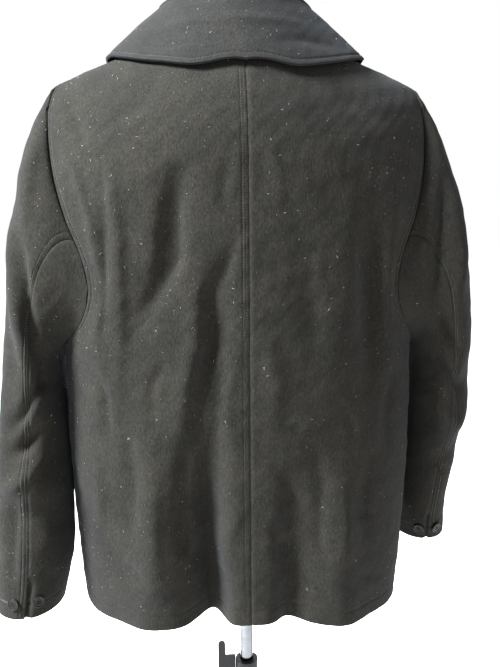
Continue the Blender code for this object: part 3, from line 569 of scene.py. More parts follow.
def body_panel(front, side):
    """The dressed surface of one body panel, and the way its outside faces."""
    start_x = -FRONT_LAP if front else SEAM_HALF_GAP
    outward = side if front else -side

    def base(across, up):
        return body_surface(across, up, front, side, start_x)

    def grow(across, up, points):
        to_side = np.linalg.norm(points - base(np.ones_like(across), up), axis=1)
        to_middle = np.linalg.norm(points - base(np.zeros_like(across), up), axis=1)
        to_hem = np.linalg.norm(points - base(across, np.zeros_like(up)), axis=1)
        to_top = np.linalg.norm(points - base(across, np.ones_like(up)), axis=1)
        creases = FRONT_CREASES if front else BACK_CREASES
        calm = smooth_step(0.0, 0.022, to_side) * smooth_step(0.0, 0.02, to_top)
        if front:
            calm = calm * smooth_step(0.05, 0.08, to_middle)
        loose = crease_height(points[:, 0], points[:, 2], creases)
        total = calm * (loose + soft_unevenness(points))
        total = total + SIDE_DIP_SHARE * seam_dip(to_side) + seam_dip(to_top)
        in_armhole = smooth_step(1.085, 1.11, points[:, 2])
        in_vent = 1 - smooth_step(SIDE_VENT_TOP - 0.005, SIDE_VENT_TOP + 0.005, points[:, 2])
        total = total + stitched(to_side, (ARMHOLE_ROW,)) * np.maximum(in_armhole, in_vent)
        total = total + stitched(to_hem, (HEM_ROW,))
        if front:
            return total + stitched(to_middle, (VENT_ROW,))
        centre = stitched(to_middle, CENTRE_ROWS) if side > 0 else 0.0
        return total + seam_dip(to_middle) + centre
    return dressed(base, grow, outward), outward


panel_lines = {
    "back": (spread((0.055, 14), (0.90, 96), (1.0, 22)),
             spread((0.045, 22), (0.98, 190), (1.0, 8))),
    "front": (spread((0.06, 12), (0.92, 60), (1.0, 16)),
              spread((0.045, 18), (0.98, 120), (1.0, 6))),
}
body_panels = {}
for side, word in ((1, "left"), (-1, "right")):
    for part, front in (("back", False), ("front", True)):
        surface, outward = body_panel(front, side)
        body_panels[part, side] = (surface, outward)
        across_lines, up_lines = panel_lines[part]
        cloth_panel("%s_cloth_%s" % (part, word), "%s_%s" % (part, word), surface,
                    across_lines, up_lines, CLOTH, outward, melton)

# The sleeves: an upper and an under piece each, of the same melton, set into the
# armholes and joined at a topstitched back seam and a front seam. The back seam
# stops short of the cuff, where the upper piece laps over the under one.
SLEEVE_COLUMNS = ("level", "outer_x", "outer_z", "inner_x", "inner_z",
                  "centre_y", "half_depth", "armhole_part")
LEFT_SLEEVE = (
    (0.000, 0.2290, 1.4220, 0.2390, 1.0860, 0.004, 0.092, 1.00),
    (0.035, 0.2480, 1.4080, 0.2415, 1.0850, 0.004, 0.094, 0.82),
    (0.080, 0.2670, 1.3780, 0.2430, 1.0800, 0.004, 0.096, 0.55),
    (0.140, 0.2830, 1.3300, 0.2440, 1.0720, 0.003, 0.096, 0.27),
    (0.210, 0.2940, 1.2680, 0.2440, 1.0600, 0.002, 0.094, 0.08),
    (0.300, 0.3030, 1.1930, 0.2430, 1.0400, 0.002, 0.091, 0.00),
    (0.420, 0.3120, 1.1030, 0.2400, 1.0060, 0.004, 0.086, 0.00),
    (0.560, 0.3250, 1.0000, 0.2375, 0.9540, 0.008, 0.080, 0.00),
    (0.700, 0.3370, 0.9030, 0.2365, 0.8880, 0.018, 0.074, 0.00),
    (0.850, 0.3430, 0.8110, 0.2375, 0.8080, 0.031, 0.067, 0.00),
    (1.000, 0.3450, 0.7360, 0.2520, 0.7390, 0.042, 0.061, 0.00),
)
RIGHT_SLEEVE = (
    (0.000, 0.2290, 1.4220, 0.2390, 1.0860, 0.004, 0.092, 1.00),
    (0.035, 0.2500, 1.4070, 0.2415, 1.0850, 0.004, 0.094, 0.82),
    (0.080, 0.2710, 1.3760, 0.2430, 1.0800, 0.004, 0.096, 0.55),
    (0.140, 0.2890, 1.3280, 0.2440, 1.0730, 0.002, 0.096, 0.27),
    (0.210, 0.3030, 1.2670, 0.2440, 1.0620, 0.000, 0.094, 0.08),
    (0.300, 0.3150, 1.1930, 0.2440, 1.0440, -0.003, 0.091, 0.00),
    (0.420, 0.3260, 1.1050, 0.2440, 1.0120, -0.006, 0.086, 0.00),
    (0.560, 0.3290, 1.0100, 0.2430, 0.9660, -0.010, 0.079, 0.00),
    (0.700, 0.3210, 0.9240, 0.2410, 0.9060, -0.018, 0.071, 0.00),
    (0.850, 0.3130, 0.8430, 0.2400, 0.8360, -0.030, 0.064, 0.00),
    (1.000, 0.3170, 0.7790, 0.2410, 0.7760, -0.042, 0.059, 0.00),
)
ARMHOLE_CLEAR = 0.0003
SLEEVE_SEAM_RADIUS = 0.033
BACK_SEAM_DEG = 92.0
FRONT_SEAM_DEG = -128.0
# columns: level, turn_deg, level_half, turn_half_deg, height
LEFT_SLEEVE_FOLDS = (
    (0.30, 105.0, 0.10, 20.0, -0.006),
    (0.52, 40.0, 0.22, 16.0, 0.006),
    (0.57, 92.0, 0.05, 32.0, -0.008),
    (0.66, 100.0, 0.05, 34.0, 0.005),
    (0.74, 85.0, 0.04, 34.0, -0.006),
    (0.56, -95.0, 0.05, 36.0, -0.008),
    (0.66, -80.0, 0.05, 34.0, 0.005),
    (0.30, -110.0, 0.10, 20.0, -0.006),
)
RIGHT_SLEEVE_FOLDS = (
    (0.28, 100.0, 0.12, 18.0, -0.006),
    (0.50, 60.0, 0.05, 34.0, -0.006),
    (0.60, 80.0, 0.05, 36.0, 0.006),
    (0.68, 70.0, 0.04, 32.0, -0.006),
    (0.56, -90.0, 0.05, 36.0, -0.008),
    (0.66, -80.0, 0.05, 34.0, 0.005),
    (0.30, -110.0, 0.10, 20.0, -0.006),
)
# finer creases on the back of each sleeve, in (x, z), and on its front
LEFT_SLEEVE_CREASES = (
    (((0.290, 1.270), (0.286, 1.181), (0.280, 1.126), (0.272, 1.075), (0.262, 1.020)),
     0.008, 0.0030),
    (((0.276, 1.240), (0.270, 1.170), (0.264, 1.100)), 0.008, -0.0026),
    (((0.256, 1.100), (0.262, 1.050), (0.285, 1.010), (0.305, 0.985)), 0.007, -0.0030),
    (((0.258, 1.000), (0.285, 0.965), (0.315, 0.950)), 0.008, -0.0028),
    (((0.260, 0.960), (0.290, 0.925), (0.322, 0.905)), 0.009, 0.0020),
    (((0.300, 0.900), (0.308, 0.840), (0.312, 0.780)), 0.008, -0.0018),
    (((0.237, 1.381), (0.226, 1.350), (0.219, 1.325)), 0.006, -0.0024),
    (((0.252, 1.360), (0.262, 1.310), (0.268, 1.250)), 0.010, 0.0020),
)
RIGHT_SLEEVE_CREASES = (
    (((-0.262, 1.311), (-0.252, 1.224), (-0.248, 1.134)), 0.009, -0.0030),
    (((-0.280, 1.300), (-0.284, 1.220), (-0.282, 1.140)), 0.011, 0.0024),
    (((-0.254, 1.150), (-0.272, 1.105), (-0.296, 1.070)), 0.008, -0.0026),
    (((-0.256, 1.080), (-0.282, 1.040), (-0.308, 1.015)), 0.008, -0.0026),
    (((-0.256, 1.020), (-0.280, 0.985), (-0.306, 0.965)), 0.009, 0.0020),
    (((-0.262, 0.930), (-0.284, 0.900), (-0.304, 0.890)), 0.007, -0.0018),
    (((-0.240, 1.370), (-0.230, 1.330), (-0.226, 1.290)), 0.006, -0.0020),
)
SLEEVE_ROWS = 22
CUFF_VENT_LEVEL = 20 / SLEEVE_ROWS
CUFF_TUCK_DEG = 20.0
CUFF_TUCK_DEPTH = 0.0050
BACK_SEAM_ROWS = (0.0034, 0.0084)
CUFF_ROW = 0.0200
SLEEVE_CREASE_SHARE = 1.8       # the sleeves are creased more than the body
ARMHOLE_DIP_SHARE = 0.2
FRONT_CREASE_RISE = 0.03        # the front repeats four of the back's creases, higher up
SLEEVES = {1: (LEFT_SLEEVE, LEFT_SLEEVE_FOLDS, LEFT_SLEEVE_CREASES),
           -1: (RIGHT_SLEEVE, RIGHT_SLEEVE_FOLDS, RIGHT_SLEEVE_CREASES)}


def armhole_edge(front, side, down):
    """Point on the armhole, down running from the shoulder tip to the underarm."""
    up = np.arange(UNDERARM_ROW, BODY_ROWS + 1) / BODY_ROWS
    points = body_surface(np.ones_like(up), up[::-1], front, side)
    outward = points - body_surface(np.full_like(up, 0.99), up[::-1], front, side)
    outward = outward / np.linalg.norm(outward, axis=1)[:, None]
    points = points + ARMHOLE_CLEAR * outward
    steps = np.linalg.norm(np.diff(points, axis=0), axis=1)
    run = np.concatenate([[0.0], np.cumsum(steps)])
    run = run / run[-1]
    return np.stack([np.interp(down, run, points[:, axis]) for axis in range(3)], axis=-1)


def sleeve_surface(turn_deg, level, side, rings, folds, tuck=None):
    """A sleeve: rings, each an ellipse round a line from its outer to its inner
    point, whose first ones are blended into the armhole. turn_deg runs from the
    outer line, by the back where positive; 180 is the underarm."""
    def column(name):
        return table_curve(rings, SLEEVE_COLUMNS, "level", name, level)

    turn = np.radians(turn_deg)
    outer = np.stack([column("outer_x"), column("outer_z")])
    inner = np.stack([column("inner_x"), column("inner_z")])
    middle = (outer + inner) / 2
    half = (outer - inner) / 2
    ring = (middle[0] + half[0] * np.cos(turn),
            column("centre_y") + column("half_depth") * np.sin(turn),
            middle[1] + half[1] * np.cos(turn))
    down = np.abs(turn_deg) / 180.0
    back = armhole_edge(False, 1.0, down)
    fore = armhole_edge(True, 1.0, down)
    hole = np.where((turn_deg >= 0)[:, None], back, fore)
    part = column("armhole_part")
    x, y, z = [part * hole[:, axis] + (1 - part) * ring[axis] for axis in range(3)]
    push = np.zeros_like(x)
    for at, at_turn, level_half, turn_half, height in folds:
        away = ((level - at) / level_half) ** 2 + ((turn_deg - at_turn) / turn_half) ** 2
        push += height * np.exp(-away)
    push = push * smooth_step(0.02, 0.15, level)
    if tuck is not None:
        push = push - tuck
    return np.stack([side * (x + push * np.cos(turn)), y + push * np.sin(turn), z], axis=-1)


def sleeve_panel(under, side):
    """The dressed surface of an upper or under sleeve, and the way it faces."""
    rings, folds, creases = SLEEVES[side]
    seam_deg = math.degrees(SEAM_HALF_GAP / SLEEVE_SEAM_RADIUS)

    def base(across, along):
        if not under:
            start = FRONT_SEAM_DEG + seam_deg
            end = BACK_SEAM_DEG - seam_deg
            return sleeve_surface(start + (end - start) * across, along, side, rings, folds)
        sunk_part = smooth_step(CUFF_VENT_LEVEL - 1 / SLEEVE_ROWS, CUFF_VENT_LEVEL, along)
        start = BACK_SEAM_DEG + seam_deg - sunk_part * CUFF_TUCK_DEG
        end = 360 + FRONT_SEAM_DEG - seam_deg
        turn = start + (end - start) * across
        near = 1 - smooth_step(BACK_SEAM_DEG + 2, BACK_SEAM_DEG + 12, turn)
        turn = np.where(turn > 180, turn - 360, turn)
        return sleeve_surface(turn, along, side, rings, folds,
                              CUFF_TUCK_DEPTH * sunk_part * near)

    def grow(across, along, points):
        to_back = np.linalg.norm(points - base(np.full_like(across, 0.0 if under else 1.0),
                                               along), axis=1)
        to_front = np.linalg.norm(points - base(np.full_like(across, 1.0 if under else 0.0),
                                                along), axis=1)
        to_armhole = np.linalg.norm(points - base(across, np.zeros_like(along)), axis=1)
        to_cuff = np.linalg.norm(points - base(across, np.ones_like(along)), axis=1)
        centre = table_curve(rings, SLEEVE_COLUMNS, "level", "centre_y", along)
        behind = smooth_step(0.0, 0.03, points[:, 1] - centre)
        calm = smooth_step(0.0, 0.025, to_armhole) * smooth_step(0.002, 0.03, to_cuff)
        loose = SLEEVE_CREASE_SHARE * behind * crease_height(points[:, 0], points[:, 2], creases)
        mirrored = [([(side * abs(x), z + FRONT_CREASE_RISE) for x, z in line], wide, high)
                    for line, wide, high in creases[2:6]]
        loose = loose + (1 - behind) * crease_height(points[:, 0], points[:, 2], mirrored)
        total = calm * (loose + soft_unevenness(points))
        total = total + seam_dip(to_back) + seam_dip(to_front) + ARMHOLE_DIP_SHARE * seam_dip(to_armhole)
        total = total + stitched(to_cuff, (CUFF_ROW,))
        if not under:
            total = total + stitched(to_back, BACK_SEAM_ROWS)
        return total
    return dressed(base, grow, -side), -side


sleeve_across = {False: spread((0.03, 6), (0.93, 84), (1.0, 18)),
                 True: spread((0.05, 8), (0.97, 60), (1.0, 4))}
sleeve_along = spread((0.03, 8), (0.93, 130), (1.0, 24))
sleeve_panels = {}
for side, word in ((1, "left"), (-1, "right")):
    for part, under in (("upper", False), ("under", True)):
        surface, outward = sleeve_panel(under, side)
        sleeve_panels[part, side] = (surface, outward)
        cloth_panel("%s_sleeve_cloth_%s" % (part, word), "%s_sleeve_%s" % (part, word),
                    surface, sleeve_across[under], sleeve_along, CLOTH, outward, melton)

# The collar: two layers of the melton turned out, with a stand that rises from the
# neck seam, a rolled fold and a broad fall, topstitched close to its edge.
COLLAR_CLOTH = 0.0038
COLLAR_COLUMNS = ("turn_deg", "edge_x", "edge_y", "stand_height", "edge_lift")
COLLAR_EDGE = (
    (0.0, 0.000, 0.121, 0.036, 0.0095),
    (30.0, 0.066, 0.111, 0.036, 0.0095),
    (60.0, 0.130, 0.068, 0.035, 0.0085),
    (90.0, 0.164, 0.012, 0.033, 0.0075),
    (120.0, 0.160, -0.050, 0.028, 0.0070),
    (150.0, 0.126, -0.094, 0.020, 0.0080),
    (176.0, 0.078, -0.115, 0.012, 0.0130),
)
COLLAR_ROLL = 0.0050
COLLAR_BULGE = 0.001
COLLAR_SEAM_RISE = 0.0013
COLLAR_OVER_LAP = 1.4           # how far the collar rises over the front lap, in lap rises
STAND_LEAN = 0.004
STAND_SHARE = 0.25
ROLL_SHARE = 0.45
COLLAR_ROW = 0.0066
COLLAR_CREASES = (
    (((0.150, 1.470), (0.100, 1.479), (0.060, 1.486), (0.000, 1.488), (-0.080, 1.488)),
     0.007, 0.0012),
    (((0.120, 1.455), (0.060, 1.462), (0.010, 1.463)), 0.006, -0.0008),
    (((-0.030, 1.462), (-0.080, 1.466), (-0.130, 1.462)), 0.006, -0.0008),
)


def shoulder_point(x, y):
    """Points on the coat's shoulders above (x, y), and their outward normals."""
    def height(px, py):
        front = py < 0
        half_width = np.where(front, FRONT_LEVELS[-1][3], BACK_LEVELS[-1][3])
        depth = section_depth(px, half_width, np.where(front, FRONT_LEVELS[-1][4],
                                                       BACK_LEVELS[-1][4]))
        drop = np.where(front, FRONT_DROP, BACK_DROP)
        lean = np.clip(np.abs(py) / depth, 0.0, 0.999)
        return shoulder_line(px) - drop * (1 - np.sqrt(1 - lean ** 2))
    small = 0.002
    rise_x = (height(x + small, y) - height(x - small, y)) / (2 * small)
    rise_y = (height(x, y + small) - height(x, y - small)) / (2 * small)
    normal = np.stack([-rise_x, -rise_y, np.ones_like(x)], axis=-1)
    normal = normal / np.linalg.norm(normal, axis=1)[:, None]
    return np.stack([x, y, height(x, y)], axis=-1), normal


def collar_surface(across, up):
    """The collar: straight up its stand, half a circle over the roll, and down a
    slightly bowed fall to an edge that stands a little off the shoulders."""
    turn_deg = (across - 0.5) * 2 * COLLAR_EDGE[-1][0]
    turn = np.abs(turn_deg)

    def column(name):
        return table_curve(COLLAR_EDGE, COLLAR_COLUMNS, "turn_deg", name, turn)

    edge, edge_normal = shoulder_point(column("edge_x"), column("edge_y"))
    edge = edge + column("edge_lift")[:, None] * edge_normal
    angle = np.radians(turn)
    reach = np.where(angle < math.pi / 2, NECK_BACK, NECK_FRONT)
    seam = shoulder_point(NECK_HALF_WIDTH * np.sin(angle),
                          reach * np.cos(angle) * np.abs(np.cos(angle)))[0]
    seam[:, 2] += COLLAR_SEAM_RISE + COLLAR_OVER_LAP * LAP_RISE * smooth_step(115.0, 145.0, turn)
    outward = edge - seam
    outward[:, 2] = 0
    outward = outward / np.linalg.norm(outward, axis=1)[:, None]
    upright = np.array([0, 0, 1.0])
    top = seam + upright * column("stand_height")[:, None] + outward * STAND_LEAN
    roll_end = top + outward * 2 * COLLAR_ROLL
    fall = np.clip((up - ROLL_SHARE) / (1 - ROLL_SHARE), 0.0, 1.0)[:, None]
    roll = np.clip((up - STAND_SHARE) / (ROLL_SHARE - STAND_SHARE), 0.0, 1.0)[:, None]
    rise = np.clip(up / STAND_SHARE, 0.0, 1.0)[:, None]
    arc = np.pi * (1 - roll)
    on_stand = seam + (top - seam) * rise
    on_roll = top + outward * COLLAR_ROLL * (1 + np.cos(arc)) + upright * COLLAR_ROLL * np.sin(arc)
    bulge = COLLAR_BULGE * np.sin(np.pi * fall)
    on_fall = roll_end + (edge - roll_end) * fall + (outward + upright) * bulge
    part = up[:, None]
    points = np.where(part <= STAND_SHARE, on_stand,
                      np.where(part <= ROLL_SHARE, on_roll, on_fall))
    points[:, 0] = points[:, 0] * np.where(turn_deg < 0, -1.0, 1.0)
    return points


def collar_relief(across, up, points):
    """Soft creases along the fall, and the pull of the topstitching at its edge."""
    on_fall = smooth_step(ROLL_SHARE, ROLL_SHARE + 0.08, up)
    to_edge = np.linalg.norm(points - collar_surface(across, np.ones_like(up)), axis=1)
    to_point = np.minimum(
        np.linalg.norm(points - collar_surface(np.zeros_like(across), up), axis=1),
        np.linalg.norm(points - collar_surface(np.ones_like(across), up), axis=1))
    near = np.minimum(to_edge, to_point)
    loose = crease_height(points[:, 0], points[:, 2], COLLAR_CREASES)
    back_only = smooth_step(0.0, 0.02, points[:, 1])
    return on_fall * (loose * back_only * smooth_step(0.0, 0.01, near)
                      + 0.6 * soft_unevenness(points) + stitched(near, (COLLAR_ROW,)))


collar_melton = wool_material("collar_melton", (0.0062, 0.0061, 0.0056, 1),
                              (0.0165, 0.0165, 0.0148, 1), 0.03)
collar_face = dressed(collar_surface, collar_relief, 1)
cloth_panel("collar_cloth", "collar", collar_face,
            spread((0.03, 10), (0.97, 170), (1.0, 10)),
            spread((STAND_SHARE, 10), (ROLL_SHARE, 14), (0.9, 30), (1.0, 12)),
            COLLAR_CLOTH, 1, collar_melton)

# Topstitching: rows of short, tight stitches in a dull black thread, down the centre
# back, round the armholes, along the sleeves' back seams, and above hem and cuffs.
STITCH_PITCH = 0.0034
STITCH_LENGTH = 0.0025
STITCH_RADIUS = 0.00026
STITCH_PROUD = 0.00012
thread, thread_tree, thread_shader = new_material("dull_thread", Roughness=0.62)
thread_place = add_node(thread_tree, "ShaderNodeTexCoord")
thread_twist = add_node(thread_tree, "ShaderNodeTexNoise", {
    "Vector": thread_place.outputs["Object"], "Scale": 700.0})
thread_tone = add_node(thread_tree, "ShaderNodeMixRGB", {
    "Fac": thread_twist.outputs["Fac"], "Color1": (0.014, 0.014, 0.013, 1.0),
    "Color2": (0.050, 0.050, 0.047, 1.0)})
thread_tree.links.new(thread_tone.outputs["Color"], thread_shader.inputs["Base Color"])


def inset_row(surface, outward, edge, away, along, by_up=True):
    """Points and normals of a row that keeps a distance from one edge of a panel:
    the distance is measured over the cloth, on short lines run in from the edge."""
    reach = np.linspace(0.0, 0.22, 45)
    lines = np.abs(edge - reach)
    first, second = np.meshgrid(lines, along)
    pair = (first.ravel(), second.ravel()) if by_up else (second.ravel(), first.ravel())
    points = surface(*pair).reshape(len(along), len(reach), 3)
    run = np.cumsum(np.linalg.norm(np.diff(points, axis=1), axis=2), axis=1)
    run = np.concatenate([np.zeros((len(along), 1)), run], axis=1)
    over = np.maximum((run < away).sum(axis=1), 1)
    pick = np.arange(len(along))
    before, after = run[pick, over - 1], run[pick, np.minimum(over, len(reach) - 1)]
    part = np.clip((away - before) / np.maximum(after - before, 1e-9), 0.0, 1.0)
    at = lines[over - 1] + part * (lines[np.minimum(over, len(reach) - 1)] - lines[over - 1])
    pair = (at, along) if by_up else (along, at)
    return surface(*pair), outward * surface_normals(surface, *pair)


def stitch_row(points, normals, pitch=STITCH_PITCH):
    """A row of spindle-shaped stitches: two ends and a ring of four round each middle,
    spaced evenly by arc length along the row."""
    steps = np.linalg.norm(np.diff(points, axis=0), axis=1)
    run = np.concatenate([[0.0], np.cumsum(steps)])
    at = np.arange(pitch, run[-1] - pitch, pitch)

    def along(values, where):
        return np.stack([np.interp(where, run, values[:, axis]) for axis in range(3)], axis=-1)

    middle, up = along(points, at), along(normals, at)
    tangent = along(points, at + 0.001) - along(points, at - 0.001)
    tangent = tangent / np.maximum(np.linalg.norm(tangent, axis=1), 1e-9)[:, None]
    across = np.cross(up, tangent)
    middle = middle + STITCH_PROUD * up
    half = STITCH_LENGTH / 2
    corners = [middle - half * tangent - 2 * STITCH_RADIUS * up]
    for shift in (-0.55, 0.55):
        for wide, high in ((1, 0), (0, 1), (-1, 0), (0, -1)):
            corners.append(middle + shift * half * tangent
                           + STITCH_RADIUS * (wide * across + high * up))
    corners.append(middle + half * tangent - 2 * STITCH_RADIUS * up)
    return np.stack(corners, axis=1)


STITCH_FACES = np.array(
    [(0, 1 + (k + 1) % 4, 1 + k) for k in range(4)]
    + [(1 + k, 1 + (k + 1) % 4, 5 + k) for k in range(4)]
    + [(1 + (k + 1) % 4, 5 + (k + 1) % 4, 5 + k) for k in range(4)]
    + [(9, 5 + k, 5 + (k + 1) % 4) for k in range(4)])


def stitching(name, rows):
    """One piece from many rows of stitches."""
    corners = np.concatenate([stitch_row(*row) for row in rows])
    faces = (STITCH_FACES[None] + 10 * np.arange(len(corners))[:, None, None]).reshape(-1, 3)
    obj = new_mesh(name, corners.reshape(-1, 3), faces, thread)
    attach(obj, "coat")
    return obj


whole = np.linspace(0.004, 0.985, 260)
for side, word in ((1, "left"), (-1, "right")):
    back, back_out = body_panels["back", side]
    fore, fore_out = body_panels["front", side]
    upper, upper_out = sleeve_panels["upper", side]
    under, under_out = sleeve_panels["under", side]
    above_underarm = np.linspace(0.395, 0.985, 160)
    beside_vent = np.linspace(0.004, 0.150, 60)
    rows = [inset_row(back, back_out, 1.0, ARMHOLE_ROW, above_underarm),
            inset_row(back, back_out, 1.0, VENT_ROW, beside_vent),
            inset_row(back, back_out, 0.0, HEM_ROW, np.linspace(0.03, 0.97, 120), False),
            inset_row(fore, fore_out, 1.0, ARMHOLE_ROW, above_underarm),
            inset_row(fore, fore_out, 1.0, VENT_ROW, beside_vent),
            inset_row(fore, fore_out, 0.0, VENT_ROW, whole),
            inset_row(fore, fore_out, 0.0, HEM_ROW, np.linspace(0.03, 0.97, 120), False)]
    if side > 0:
        rows += [inset_row(back, back_out, 0.0, away, whole) for away in CENTRE_ROWS]
    stitching("body_topstitching_" + word, rows)
    rows = [inset_row(upper, upper_out, 1.0, away, np.linspace(0.02, 0.99, 220))
            for away in BACK_SEAM_ROWS]
    rows += [inset_row(upper, upper_out, 1.0, CUFF_ROW, np.linspace(0.01, 0.97, 90), False),
             inset_row(under, under_out, 1.0, CUFF_ROW, np.linspace(0.16, 0.98, 60), False)]
    stitching("sleeve_topstitching_" + word, rows)
stitching("collar_topstitching", [
    inset_row(collar_face, 1, 1.0, COLLAR_ROW, np.linspace(0.012, 0.988, 300), False),
    inset_row(collar_face, 1, 0.0, COLLAR_ROW, np.linspace(0.5, 0.965, 60)),
    inset_row(collar_face, 1, 1.0, COLLAR_ROW, np.linspace(0.5, 0.965, 60))])

# Buttonholes: a slit that runs away from each cuff's outer button over the melton,
# its edge bound close in the same thread.
SLIT_FROM = 0.0090
SLIT_TO = 0.0230
SLIT_HALF = 0.0011
BINDING_PITCH = 0.0010


def bound_slit(surface, outward, node):
    """An oval on the cloth beside a button: the cosine of the turn runs along the
    slit, its sine across, from the panel's point nearest to the button."""
    box = np.array([list(corner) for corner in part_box(node)])
    across, up = [lines.ravel() for lines in np.meshgrid(np.linspace(0.01, 0.99, 197),
                                                         np.linspace(0.01, 0.99, 197))]
    best = np.argmin(np.linalg.norm(surface(across, up) - box.mean(axis=0), axis=1))
    step = 0.01
    around = surface(across[best] + np.array([0.0, -step, 0.0]),
                     up[best] + np.array([0.0, 0.0, -step]))
    wide = step / np.linalg.norm(around[1] - around[0])
    high = step / np.linalg.norm(around[2] - around[0])
    turn = np.linspace(0, 2 * np.pi, 90)
    middle, half = (SLIT_FROM + SLIT_TO) / 2, (SLIT_TO - SLIT_FROM) / 2
    place = (across[best] - (middle + half * np.cos(turn)) * wide,
             up[best] + SLIT_HALF * np.sin(turn) * high)
    return surface(*place), outward * surface_normals(surface, *place), BINDING_PITCH


stitching("cuff_buttonholes", [bound_slit(*sleeve_panels["upper", side],
                                          "cuff_button_%s_outer" % word)
                               for side, word in ((1, "left"), (-1, "right"))])

# Lint: pale specks and short hairs that dark wool picks up, more of them on the left.
LINT_PER_PANEL = {"back": 520, "front": 260, "upper": 300, "under": 90, "collar": 260}
lint_pale, lint_tree, lint_shader = new_material("pale_lint", Roughness=0.95)
lint_place = add_node(lint_tree, "ShaderNodeTexCoord")
lint_noise = add_node(lint_tree, "ShaderNodeTexNoise", {
    "Vector": lint_place.outputs["Object"], "Scale": 60.0})
lint_tone = add_node(lint_tree, "ShaderNodeMixRGB", {
    "Fac": lint_noise.outputs["Fac"], "Color1": (0.10, 0.095, 0.08, 1.0),
    "Color2": (0.42, 0.40, 0.35, 1.0)})
lint_tree.links.new(lint_tone.outputs["Color"], lint_shader.inputs["Base Color"])


def lint_piece(name, surface, outward, count, rng):
    """Hairs scattered over a panel: each a three-sided tube along a bent line of four
    points, most of them so short that they read as specks."""
    across, up = rng.uniform(0.02, 0.98, count), rng.uniform(0.02, 0.97, count)
    normals = outward * surface_normals(surface, across, up)
    centre = surface(across, up) + 0.0003 * normals
    turn = rng.uniform(0, 2 * np.pi, count)
    flat_way = np.cross(normals, (0.3, 0.2, 0.93))
    flat_way = flat_way / np.linalg.norm(flat_way, axis=1)[:, None]
    other = np.cross(normals, flat_way)
    along = np.cos(turn)[:, None] * flat_way + np.sin(turn)[:, None] * other
    beside = np.cross(normals, along)
    length = 0.0005 + 0.0030 * rng.uniform(0, 1, count) ** 5
    bend = rng.uniform(-0.35, 0.35, count) * length
    thick = rng.uniform(0.00008, 0.00019, count)
    rings = []
    for share in (-0.5, -0.17, 0.17, 0.5):
        middle = (centre + (share * length)[:, None] * along
                  + ((0.25 - share**2) * 4 * bend)[:, None] * beside)
        for third in range(3):
            angle = 2 * np.pi * third / 3
            rings.append(middle + (thick * math.cos(angle))[:, None] * beside
                         + (thick * math.sin(angle))[:, None] * normals)
    points = np.stack(rings, axis=1).reshape(-1, 3)
    tube = [(3 * r + k, 3 * r + 3 + k, 3 * r + 3 + (k + 1) % 3) for r in range(3) for k in range(3)]
    tube += [(3 * r + k, 3 * r + 3 + (k + 1) % 3, 3 * r + (k + 1) % 3)
             for r in range(3) for k in range(3)]
    tube += [(0, 1, 2), (9, 11, 10)]
    faces = (np.array(tube)[None] + 12 * np.arange(count)[:, None, None]).reshape(-1, 3)
    obj = new_mesh(name, points, faces, lint_pale)
    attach(obj, "coat")


lint_rng = np.random.default_rng(7)
for (part, side), (surface, outward) in [*body_panels.items(), *sleeve_panels.items(),
                                         (("collar", 1), (collar_face, 1))]:
    share = 1.25 if side > 0 else 0.8
    lint_piece("lint_%s_%s" % (part, "left" if side > 0 else "right"), surface, outward,
               int(LINT_PER_PANEL[part] * share), lint_rng)

# Buttons of polished black horn: a turned disc with a round rim, a dished middle and
# four drilled holes. Two on each cuff, four down the front.
BUTTON_THICK = 0.0030
BUTTON_RADIUS = 0.0078
FRONT_BUTTON_RADIUS = 0.0115
HOLE_OUT = 0.0019
HOLE_RADIUS = 0.00085
HOLE_DEPTH = 0.0013
EDGE_SHARE = 0.86               # of the profile, where the top ends and the side begins
DISH_HEIGHT = 0.26              # heights are shares of the button's thickness
RIM_RISE = 0.20
SIDE_DROP = 0.96
INSIDE_SHARE = 0.9              # a point inside the coat or sleeve, as a share of the x
EDGE_ROUND = 0.00045
BUTTON_RINGS = 34
BUTTON_TURNS = 72
horn, horn_tree, horn_shader = new_material("black_horn", Roughness=0.26, Specular_IOR_Level=0.12)
horn_place = add_node(horn_tree, "ShaderNodeTexCoord")
horn_cloud = add_node(horn_tree, "ShaderNodeTexNoise", {
    "Vector": horn_place.outputs["Object"], "Scale": 180.0, "Detail": 3.0})
horn_tone = add_node(horn_tree, "ShaderNodeMixRGB", {
    "Fac": horn_cloud.outputs["Fac"], "Color1": (0.003, 0.0027, 0.0023, 1.0),
    "Color2": (0.011, 0.0095, 0.008, 1.0)})
horn_tree.links.new(horn_tone.outputs["Color"], horn_shader.inputs["Base Color"])


